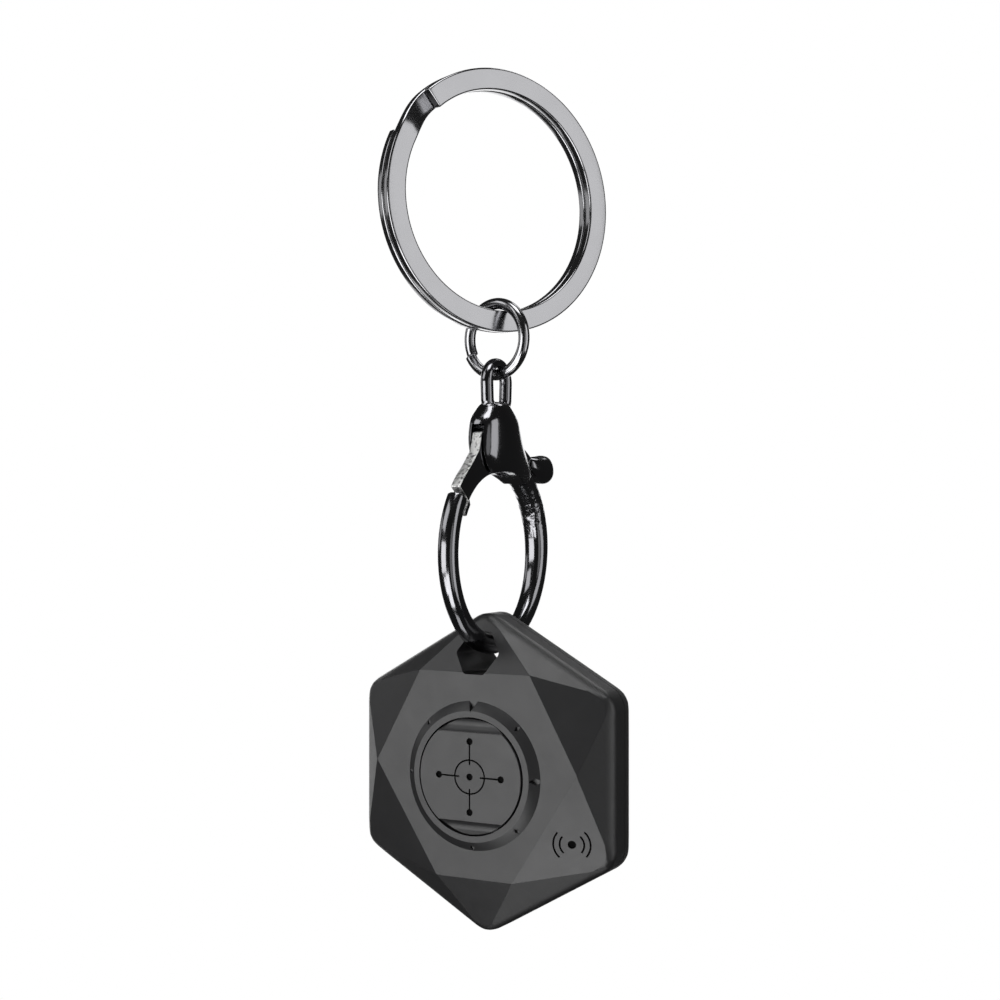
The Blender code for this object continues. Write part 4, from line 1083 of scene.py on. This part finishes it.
def hole_cutter():
    """The six-sided keyring hole, with round corners, right through the tag."""
    outline = (
        (-HOLE_TOP_HALF, HOLE_Z + HOLE_HALF_H),
        (HOLE_TOP_HALF, HOLE_Z + HOLE_HALF_H),
        (HOLE_SIDE, HOLE_Z),
        (HOLE_TOP_HALF, HOLE_Z - HOLE_HALF_H),
        (-HOLE_TOP_HALF, HOLE_Z - HOLE_HALF_H),
        (-HOLE_SIDE, HOLE_Z),
    )
    cutter = make_object("hole", prism(outline, -HOLE_REACH, HOLE_REACH, "Y"))
    bevel(cutter, HOLE_ROUND, 5)
    return apply_modifiers(cutter)


def round_hole_edge(shell):
    """A small round along the edge where the keyring hole breaks through the facets."""
    bm = bmesh.new()
    bm.from_mesh(shell.data)
    edges = []
    for edge in bm.edges:
        if len(edge.link_faces) != 2 or edge.calc_face_angle(0.0) < HOLE_EDGE_ANGLE:
            continue
        start, end = (v.co for v in edge.verts)
        near = all(
            abs(p.x) < HOLE_SIDE + TOLERANCE and abs(p.z - HOLE_Z) < HOLE_HALF_H + TOLERANCE
            for p in (start, end)
        )
        if near and abs(start.y - end.y) < 0.8 * (start - end).length:
            edges.append(edge)
    bmesh.ops.bevel(
        bm, geom=edges, offset=HOLE_EDGE, segments=3, profile=0.5, affect="EDGES", clamp_overlap=True)
    bm.to_mesh(shell.data)
    bm.free()


def screw_places():
    """X and Z of the four screws."""
    for degrees in SCREW_ANGLES:
        angle = math.radians(degrees)
        yield SCREW_CORNER * math.cos(angle), TAG_Z + SCREW_CORNER * math.sin(angle)


def bezel_cone():
    """The raised cone round the button, with its edges broken."""
    side, top = BEZEL_EDGE
    profile = (
        (BEZEL_OUTER_R, BEZEL_ROOT_Y),
        (BEZEL_OUTER_R, -TAG_FACE - BEZEL_FOOT),
        (BEZEL_TOP_R + side, BEZEL_Y + top),
        (BEZEL_TOP_R, BEZEL_Y),
    )
    return turned(profile, 0.0, TAG_Z, FINE_STEPS)


def bezel_cuts():
    """The wide notch at the top of the bezel, the diamond at the right and the small ticks between."""
    proud = BEZEL_Y - BEZEL_CUT_PAST
    notch = [(x, TAG_Z + z) for x, z in in_mm(BEZEL_NOTCH)]
    cutters = [prism(notch, proud, -TAG_FACE, "Y")]
    for degrees in TICK_ANGLES:
        angle = math.radians(degrees)
        cos, sin = math.cos(angle), math.sin(angle)
        long, wide = DIAMOND_SIZE if degrees == 0.0 else TICK_SIZE
        points = []
        for reach, side in ((long, 0.0), (0.0, wide), (-long, 0.0), (0.0, -wide)):
            out = TICK_R + reach
            points.append((out * cos - side * sin, TAG_Z + (out * sin + side * cos)))
        cutters.append(prism(points, proud, -TAG_FACE - TICK_FLOOR, "Y"))
    return cutters


def signal_icon():
    """Cutters for a generic signal mark, a dot with two arcs on each side, on the lower right facet."""
    inner = facet_ring(FRONT_FACET)
    corner = sharp_corners()[2]
    points = [Vector((x, -depth, z)) for x, z, depth in (
        (*inner[2], TAG_FACE), (*inner[3], TAG_FACE), (*corner, TAG_RIM))]
    normal = (points[1] - points[0]).cross(points[2] - points[0]).normalized()
    if normal.y > 0.0:
        normal = -normal
    x_axis = ALONG_X - normal * normal.x
    x_axis.normalize()
    z_axis = x_axis.cross(normal)
    depth = plane_depth(*((p.x, p.z, -p.y) for p in points))
    centre_x, centre_z = ICON_PLACE
    centre = Vector((centre_x, -depth(centre_x, centre_z), TAG_Z + centre_z))
    cutters = [turned(((ICON_DOT_R, -ICON_DEPTH), (ICON_DOT_R, ICON_DEPTH)), 0.0, 0.0, 24)]
    for radius in ICON_ARCS:
        band = (radius - ICON_LINE / 2, radius + ICON_LINE / 2, -ICON_DEPTH, ICON_DEPTH)
        for middle in (0.0, math.pi):
            cutters.append(ring_sector(*band, middle, ICON_HALF, 0.0, 0.0))
    for bm in cutters:
        for v in bm.verts:
            v.co = centre + x_axis * v.co.x - normal * v.co.y + z_axis * v.co.z
    return cutters, centre - normal * ICON_DEPTH, normal


def make_front_shell(material, floor_shade):
    """The faceted front with its bezel, hollowed behind for the button and the board."""
    shell = make_object("front_cover", faceted_half(FRONT_FACET, TAG_RIM, TAG_FACE, -1.0, PARTING_Y))
    weld(shell, bezel_cone(), SHELL_SOLVER)
    pocket = in_mm(BOARD_ROOM)
    pocket.append((pocket[-1][0], PARTING_Y + BEYOND))
    carve(shell, turned(pocket, 0.0, CELL_Z), SHELL_SOLVER)
    bore = (
        (BUTTON_HOLE_R, BEZEL_Y - BEYOND),
        (BUTTON_HOLE_R, FLANGE_ROOM_Y[0]),
        (FLANGE_ROOM_R, FLANGE_ROOM_Y[0]),
        (FLANGE_ROOM_R, FLANGE_ROOM_Y[1]),
    )
    carve(shell, turned(bore, 0.0, TAG_Z, FINE_STEPS), SHELL_SOLVER)
    combine(shell, hole_cutter(), "DIFFERENCE", SHELL_SOLVER)
    icon, icon_floor, icon_normal = signal_icon()
    for cutter in bezel_cuts() + icon:
        carve(shell, cutter, SHELL_SOLVER)
    for x, z in screw_places():
        bore = ((SCREW_BORE_R, SCREW_TIP_Y - SCREW_BORE_PAST), (SCREW_BORE_R, PARTING_Y + BEYOND))
        carve(shell, turned(bore, x, z, 24), SHELL_SOLVER)
    round_hole_edge(shell)
    # the signal icon's engraved floors get near-black painted shade
    paint_shade_on_floors(shell, floor_shade, icon_floor, icon_normal)
    flatten_facets(shell, SHELL_SMOOTH)
    return finish_piece(shell, "tag", material, "case_plastic", "front_shell")


def make_rear_shell(material):
    """The faceted back with the battery's well, the cover's bayonet channel and the screws' wells."""
    land = PARTING_Y + SEAM_CLEAR
    shell = make_object(
        "rear_cover", faceted_half(REAR_FACET, REAR_RIM, TAG_FACE, 1.0, PARTING_Y + SEAM_WIDTH, land))
    well = (
        (CELL_ROOM_R, -BEYOND),
        (CELL_ROOM_R, CHANNEL_Y[0]),
        (CHANNEL_R, CHANNEL_Y[0]),
        (CHANNEL_R, CHANNEL_Y[1]),
        (THROAT_R, CHANNEL_Y[1]),
        (THROAT_R, COVER_SEAT_Y),
        (COVER_ROOM_R, COVER_SEAT_Y),
        (COVER_ROOM_R, TAG_FACE - COVER_ROOM_EDGE),
        (COVER_ROOM_R + COVER_ROOM_EDGE, TAG_FACE),
        (COVER_ROOM_R + COVER_ROOM_EDGE, TAG_FACE + BEYOND),
    )
    weld(shell, turned([(LIP_R, y) for y in LIP_Y], 0.0, CELL_Z, 144), SHELL_SOLVER)
    carve(shell, turned(well, 0.0, CELL_Z, FINE_STEPS), SHELL_SOLVER)
    combine(shell, hole_cutter(), "DIFFERENCE", SHELL_SOLVER)
    low, high = CHANNEL_Y[0] + NOTCH_MARGIN, COVER_SEAT_Y + NOTCH_MARGIN
    for i in range(3):
        angle = LUG_REST + LUG_TURN + math.tau * i / 3
        carve(shell, ring_sector(*NOTCH_R, low, high, -angle, NOTCH_HALF, 0.0, CELL_Z), SHELL_SOLVER)
    for x, z in screw_places():
        bore = (
            (SCREW_BORE_R, 0.0),
            (SCREW_BORE_R, SCREW_SEAT_Y),
            (SCREW_WELL_R, SCREW_SEAT_Y),
            (SCREW_WELL_R, TAG_FACE + BEYOND),
        )
        carve(shell, turned(bore, x, z, 40), SHELL_SOLVER)
    round_hole_edge(shell)
    flatten_facets(shell, SHELL_SMOOTH)
    return finish_piece(shell, "tag", material, "case_plastic", "rear_shell")


def make_screw(number, x, z, material):
    """A pan-headed screw with a cross drive."""
    profile = (
        (SCREW_TIP_R, SCREW_TIP_Y),
        (SCREW_SHANK_R, SCREW_TIP_Y + SCREW_TIP_LENGTH),
        (SCREW_SHANK_R, SCREW_HEAD_Y[0]),
        (SCREW_HEAD_R, SCREW_HEAD_Y[0]),
        *rounded_rim(SCREW_HEAD_R, SCREW_HEAD_Y[1], SCREW_EDGE),
    )
    screw = make_object(f"screw_{number}", turned(profile, x, z, 48))
    arm, reach = DRIVE_ARM, DRIVE_REACH
    cross = (
        (arm, arm), (arm, reach), (-arm, reach), (-arm, arm), (-reach, arm), (-reach, -arm),
        (-arm, -arm), (-arm, -reach), (arm, -reach), (arm, -arm), (reach, -arm), (reach, arm),
    )
    outline = [(x + a, z + b) for a, b in cross]
    carve(screw, prism(outline, SCREW_HEAD_Y[1] - DRIVE_DEPTH, SCREW_HEAD_Y[1] + BEYOND, "Y"))
    apply_modifiers(screw, EDGE_SMOOTH)
    return finish_piece(screw, "tag", material, "screw_steel", f"case_screw_{number}")


# ---- Battery cover, seal and button ----


def make_cover(material):
    """The bayonet cover: a disc with a skirt, three lugs and a coin slot."""
    profile = (
        (COVER_R, COVER_Y[0]),
        *rounded_rim(COVER_R, COVER_Y[1], COVER_EDGE),
    )
    cover = make_object("battery_door", turned(profile, 0.0, CELL_Z, FINE_STEPS))
    weld(cover, tube(*SKIRT_R, LUG_Y[0], COVER_Y[0] + SKIRT_ROOT, 0.0, CELL_Z, 144))
    for i in range(3):
        angle = LUG_REST + math.tau * i / 3
        weld(cover, ring_sector(SKIRT_R[0] + LUG_ROOT, LUG_R, *LUG_Y, angle, LUG_HALF, 0.0, CELL_Z))
    half_wide = COIN_SLOT_WIDE / 2
    shoulder = COIN_SLOT_HALF - half_wide
    slot = [(shoulder, -half_wide), (COIN_SLOT_HALF, 0.0), (shoulder, half_wide)]
    slot += [(-x, -z) for x, z in slot]
    outline = [(x, CELL_Z + z) for x, z in slot]
    coin = make_object("coin", prism(outline, COVER_Y[1] - COIN_SLOT_DEPTH, COVER_Y[1] + BEYOND, "Y"))
    bevel(coin, COIN_SLOT_EDGE, 4)
    apply_modifiers(coin)
    combine(cover, coin)
    apply_modifiers(cover, CAP_SMOOTH)
    return finish_piece(cover, "cover", material, "cover_plastic", "battery_cover")


def make_seal(material):
    seal = make_object("door_seal", tube(*SEAL_R, *SEAL_Y, 0.0, CELL_Z, 144))
    bevel(seal, SEAL_EDGE, 3)
    apply_modifiers(seal, EDGE_SMOOTH)
    return finish_piece(seal, "tag", material, "seal_rubber", "cover_seal")


def dish_cutter(side):
    """Scoops a shallow segment out of the button beyond its flat band."""
    steps = 40
    outline = [(BUTTON_FACE_Y - BEYOND, BUTTON_BAND)]
    for i in range(steps + 1):
        part = i / steps
        drop = DISH_STEP + DISH_DEPTH * (1.0 - (2.0 * part - 1.0) ** 2)
        outline.append((BUTTON_FACE_Y + drop, BUTTON_BAND + DISH_WIDTH * part))
    outline.append((BUTTON_FACE_Y - BEYOND, BUTTON_BAND + DISH_WIDTH))
    outline = [(y, TAG_Z + side * z) for y, z in outline]
    return prism(outline, -BUTTON_FLANGE_R, BUTTON_FLANGE_R, "X")


def locator_mark():
    """Cutters for a generic locator mark: a ring with four arms, each ending in a dot."""
    low, high = BUTTON_FACE_Y - MARK_ABOVE, BUTTON_FACE_Y + MARK_DEPTH
    dot = ((MARK_DOT_R, low), (MARK_DOT_R, high))
    half = MARK_LINE / 2
    inside, outside = MARK_RING_R - MARK_TICK, MARK_REACH
    shapes = [tube(MARK_RING_R - half, MARK_RING_R + half, low, high, 0.0, TAG_Z, 96)]
    shapes.append(turned(dot, 0.0, TAG_Z, 32))
    for k in range(4):
        angle = math.radians(90.0 * k)
        cos, sin = math.cos(angle), math.sin(angle)
        shapes.append(turned(dot, MARK_REACH * cos, TAG_Z + MARK_REACH * sin, 32))
        outline = []
        for reach, side in ((inside, -half), (outside, -half), (outside, half), (inside, half)):
            outline.append((reach * cos - side * sin, TAG_Z + reach * sin + side * cos))
        shapes.append(prism(outline, low, high, "Y"))
    return shapes


def band_groove(side):
    """The fine groove along the edge of the button's flat band."""
    middle = TAG_Z + side * BUTTON_BAND
    low, high = middle - BAND_GROOVE / 2, middle + BAND_GROOVE / 2
    outline = ((-BAND_REACH, low), (BAND_REACH, low), (BAND_REACH, high), (-BAND_REACH, high))
    return prism(outline, BUTTON_FACE_Y - MARK_ABOVE, BUTTON_FACE_Y + BAND_GROOVE, "Y")


def paint_shade_on_floors(item, material, place, inward):
    """Paint shade on the flat floors of engraved lines, which lie in one plane, by giving them the
    near-black material.
    """
    item.data.materials.clear()
    item.data.materials.append(None)
    item.data.materials.append(material)
    for face in item.data.polygons:
        level = abs((face.center - place).dot(inward)) < TOLERANCE
        if level and abs(face.normal.dot(inward)) > FLOOR_FACING:
            face.material_index = 1


def make_button(material, floor_shade):
    """The flanged cap with its flat band, two scoops and the engraved mark."""
    face = BUTTON_FACE_Y
    width, middle = BUTTON_EDGE
    profile = (
        (BUTTON_R - width, face),
        (BUTTON_R - middle, face + middle),
        (BUTTON_R, face + width),
        (BUTTON_R, BUTTON_FLANGE_Y[0]),
        (BUTTON_FLANGE_R, BUTTON_FLANGE_Y[0]),
        (BUTTON_FLANGE_R, BUTTON_FLANGE_Y[1]),
    )
    cap = make_object("press_button", turned(profile, 0.0, TAG_Z, FINE_STEPS))
    for side in (1.0, -1.0):
        carve(cap, dish_cutter(side))
        carve(cap, band_groove(side))
    for cutter in locator_mark():
        carve(cap, cutter)
    # the locator mark's engraved floors get near-black painted shade
    paint_shade_on_floors(cap, floor_shade, Vector((0.0, face + MARK_DEPTH, 0.0)), Vector((0.0, 1.0, 0.0)))
    flatten_facets(cap, CAP_SMOOTH)
    return finish_piece(cap, "button", material, "button_plastic", "button_cap")


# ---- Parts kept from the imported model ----

PACKED_FINISHES = {
    "circuit_board": "board",
    "bluetooth_chip": "chip",
    "crystal": "steel",
    "antenna": "ceramic",
    "piezo_buzzer": "chip",
    "tactile_switch": "steel",
    "switch_plunger": "plunger",
    "coin_cell": "cell",
    "negative_contact": "brass",
    "positive_contact": "brass",
}
PACKED_EDGE = 0.05 * MM


def dress(name, material):
    """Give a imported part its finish; its shape stays as it is."""
    node = frame["nodes"][name]
    node.data.materials.clear()
    node.data.materials.append(material)
    bevel(node, PACKED_EDGE)


# ---- Light, floor and camera ----


def direction(azimuth, elevation):
    """Unit vector towards a place round the tag; azimuth 0 is in front of it and 90 to its right."""
    a, e = math.radians(azimuth), math.radians(elevation)
    return Vector((math.sin(a) * math.cos(e), -math.cos(a) * math.cos(e), math.sin(e)))


def softbox(name, shape, azimuth, elevation, width, height, brightness):
    """A flat light; width and height are the angles it fills, seen from the target, in degrees."""
    light = bpy.data.lights.new(name, "AREA")
    light.shape = shape
    light.size = 2.0 * LIGHT_DISTANCE * math.tan(math.radians(width / 2))
    light.size_y = 2.0 * LIGHT_DISTANCE * math.tan(math.radians(height / 2))
    filled = math.pi / 4 if shape == "ELLIPSE" else 1.0
    light.energy = brightness * math.pi * light.size * light.size_y * filled
    item = bpy.data.objects.new(name, light)
    away = direction(azimuth, elevation)
    item.location = LIGHT_TARGET + away * LIGHT_DISTANCE
    item.rotation_mode = "QUATERNION"
    item.rotation_quaternion = away.to_track_quat("Z", "Y")
    item.visible_camera = False
    bpy.context.scene.collection.objects.link(item)
    return item


def make_world():
    """White behind the object, dim all round it, so that polished metal reflects dark surroundings."""
    world = bpy.data.worlds.new("studio")
    bpy.context.scene.world = world
    world.use_nodes = True
    tree = world.node_tree
    tree.nodes.clear()
    camera_ray = add_node(tree, "ShaderNodeLightPath", {}).outputs["Is Camera Ray"]
    backdrop = add_node(tree, "ShaderNodeBackground", {"Color": (1.0, 1.0, 1.0, 1.0)})
    dim = add_node(tree, "ShaderNodeBackground", {"Color": (*ROOM_COLOUR, 1.0)})
    inputs = {0: camera_ray, 1: dim.outputs["Background"], 2: backdrop.outputs["Background"]}
    choice = add_node(tree, "ShaderNodeMixShader", inputs)
    add_node(tree, "ShaderNodeOutputWorld", {"Surface": choice.outputs["Shader"]})


def make_floor():
    """A pale round floor well below the hanging tag."""
    material, tree, shader = new_material("floor_paint", (0.85, 0.85, 0.85), 0.7, 0.0)
    mottle(tree, shader, noise(tree, coordinates(tree), 40.0), (0.83, 0.83, 0.83), (0.87, 0.87, 0.87))
    shader.inputs["Emission Color"].default_value = (1.0, 1.0, 1.0, 1.0)
    shader.inputs["Emission Strength"].default_value = FLOOR_GLOW
    bm = bmesh.new()
    bm.faces.new([bm.verts.new((x, y, FLOOR_Z)) for x, y in circle((0.0, 0.0), FLOOR_R, 96)])
    floor = make_object("floor", bm)
    floor.data.materials.append(material)
    floor.visible_glossy = False
    floor.visible_diffuse = False


def make_camera():
    lens = bpy.data.cameras.new("camera")
    lens.lens = CAMERA_LENS
    lens.sensor_width = CAMERA_SENSOR
    lens.dof.use_dof = False
    lens.clip_start = CAMERA_NEAR
    camera = bpy.data.objects.new("camera", lens)
    back = direction(CAMERA_AZIMUTH, 0.0)
    side = Vector((-back.y, back.x, 0.0))
    camera.location = back * CAMERA_DISTANCE + side * CAMERA_SIDE + UP * CAMERA_Z
    camera.rotation_mode = "QUATERNION"
    camera.rotation_quaternion = back.to_track_quat("Z", "Y")
    bpy.context.scene.collection.objects.link(camera)
    bpy.context.scene.camera = camera


def make_lights():
    """Name, shape, azimuth, elevation, width, height (degrees) and brightness of each softbox."""
    for row in (
        ("front_softbox", "RECTANGLE", -24.0, -4.0, 40.0, 30.0, 3.5),
        ("low_softbox", "RECTANGLE", 4.0, -40.0, 36.0, 38.0, 4.2),
        ("upper_left_softbox", "RECTANGLE", -40.0, 34.0, 30.0, 26.0, 1.9),
        ("under_softbox", "RECTANGLE", 20.0, -80.0, 26.0, 24.0, 1.5),
        ("far_left_softbox", "RECTANGLE", -78.0, 12.0, 24.0, 20.0, 0.8),
        ("left_softbox", "RECTANGLE", -124.0, -8.0, 30.0, 44.0, 1.2),
        ("right_softbox", "ELLIPSE", 60.0, -4.0, 26.0, 56.0, 0.5),
        ("side_softbox", "RECTANGLE", 94.0, 5.0, 32.0, 60.0, 1.6),
        ("low_fill", "RECTANGLE", -26.0, -32.0, 14.0, 18.0, 4.2),
        ("knob_softbox", "ELLIPSE", 172.0, 50.0, 24.0, 24.0, 2.6),
        ("top_softbox", "RECTANGLE", 34.0, 76.0, 30.0, 26.0, 4.6),
        ("back_softbox", "RECTANGLE", 204.0, -4.0, 50.0, 40.0, 1.6),
    ):
        softbox(*row)


# ---- Everything together ----


def make_materials():
    return {
        "case": moulded_plastic("case_black", (0.022, 0.022, 0.023), (0.027, 0.027, 0.028), 0.38),
        # near-black floors of engraved lines: painted shade in the recesses, on a rough unpolished finish
        "floor_shade": painted_floor_shade("floor_painted_shade"),
        "rear": moulded_plastic("rear_black", (0.026, 0.026, 0.027), (0.031, 0.031, 0.032), 0.42),
        "button": moulded_plastic("button_black", (0.025, 0.025, 0.026), (0.03, 0.03, 0.031), 0.38),
        "door": moulded_plastic("door_black", (0.028, 0.028, 0.029), (0.034, 0.034, 0.035), 0.4),
        "ring": black_nickel("ring_nickel", (0.30, 0.30, 0.31), 0.12, 0.1),
        "nickel": black_nickel("clasp_nickel", (0.2, 0.2, 0.21), 0.12, rough_patch=ARCH_PATCH),
        "cast": rough_casting("lever_casting"),
        "steel": bright_metal("steel", (0.58, 0.58, 0.6), 0.22),
        "spring": bright_metal("spring_steel", (0.5, 0.5, 0.52), 0.25),
        "brass": bright_metal("contact_brass", (0.72, 0.55, 0.27), 0.25),
        "cell": bright_metal("cell_steel", (0.72, 0.72, 0.74), 0.2),
        "rubber": soft_rubber("seal_rubber"),
        "board": board_laminate("board_green"),
        "ceramic": fired_ceramic("antenna_ceramic"),
        "chip": moulded_plastic("chip_epoxy", (0.018, 0.018, 0.018), (0.024, 0.024, 0.024), 0.5),
        "plunger": moulded_plastic("plunger_white", (0.6, 0.6, 0.58), (0.68, 0.68, 0.66), 0.4),
    }


def main():
    materials = make_materials()
    make_split_ring(materials["ring"])
    make_jump_ring(materials["ring"])
    make_clasp(materials["nickel"])
    make_pin(materials["nickel"])
    make_spring(materials["spring"])
    make_lever(materials["cast"], materials["nickel"])
    make_front_shell(materials["case"], materials["floor_shade"])
    make_rear_shell(materials["rear"])
    for i, (x, z) in enumerate(screw_places(), 1):
        make_screw(i, x, z, materials["steel"])
    make_cover(materials["door"])
    make_seal(materials["rubber"])
    make_button(materials["button"], materials["floor_shade"])
    for name, finish in PACKED_FINISHES.items():
        dress(name, materials[finish])
    make_world()
    make_lights()
    make_floor()
    make_camera()
    bpy.context.scene.view_settings.view_transform = "Standard"


main()
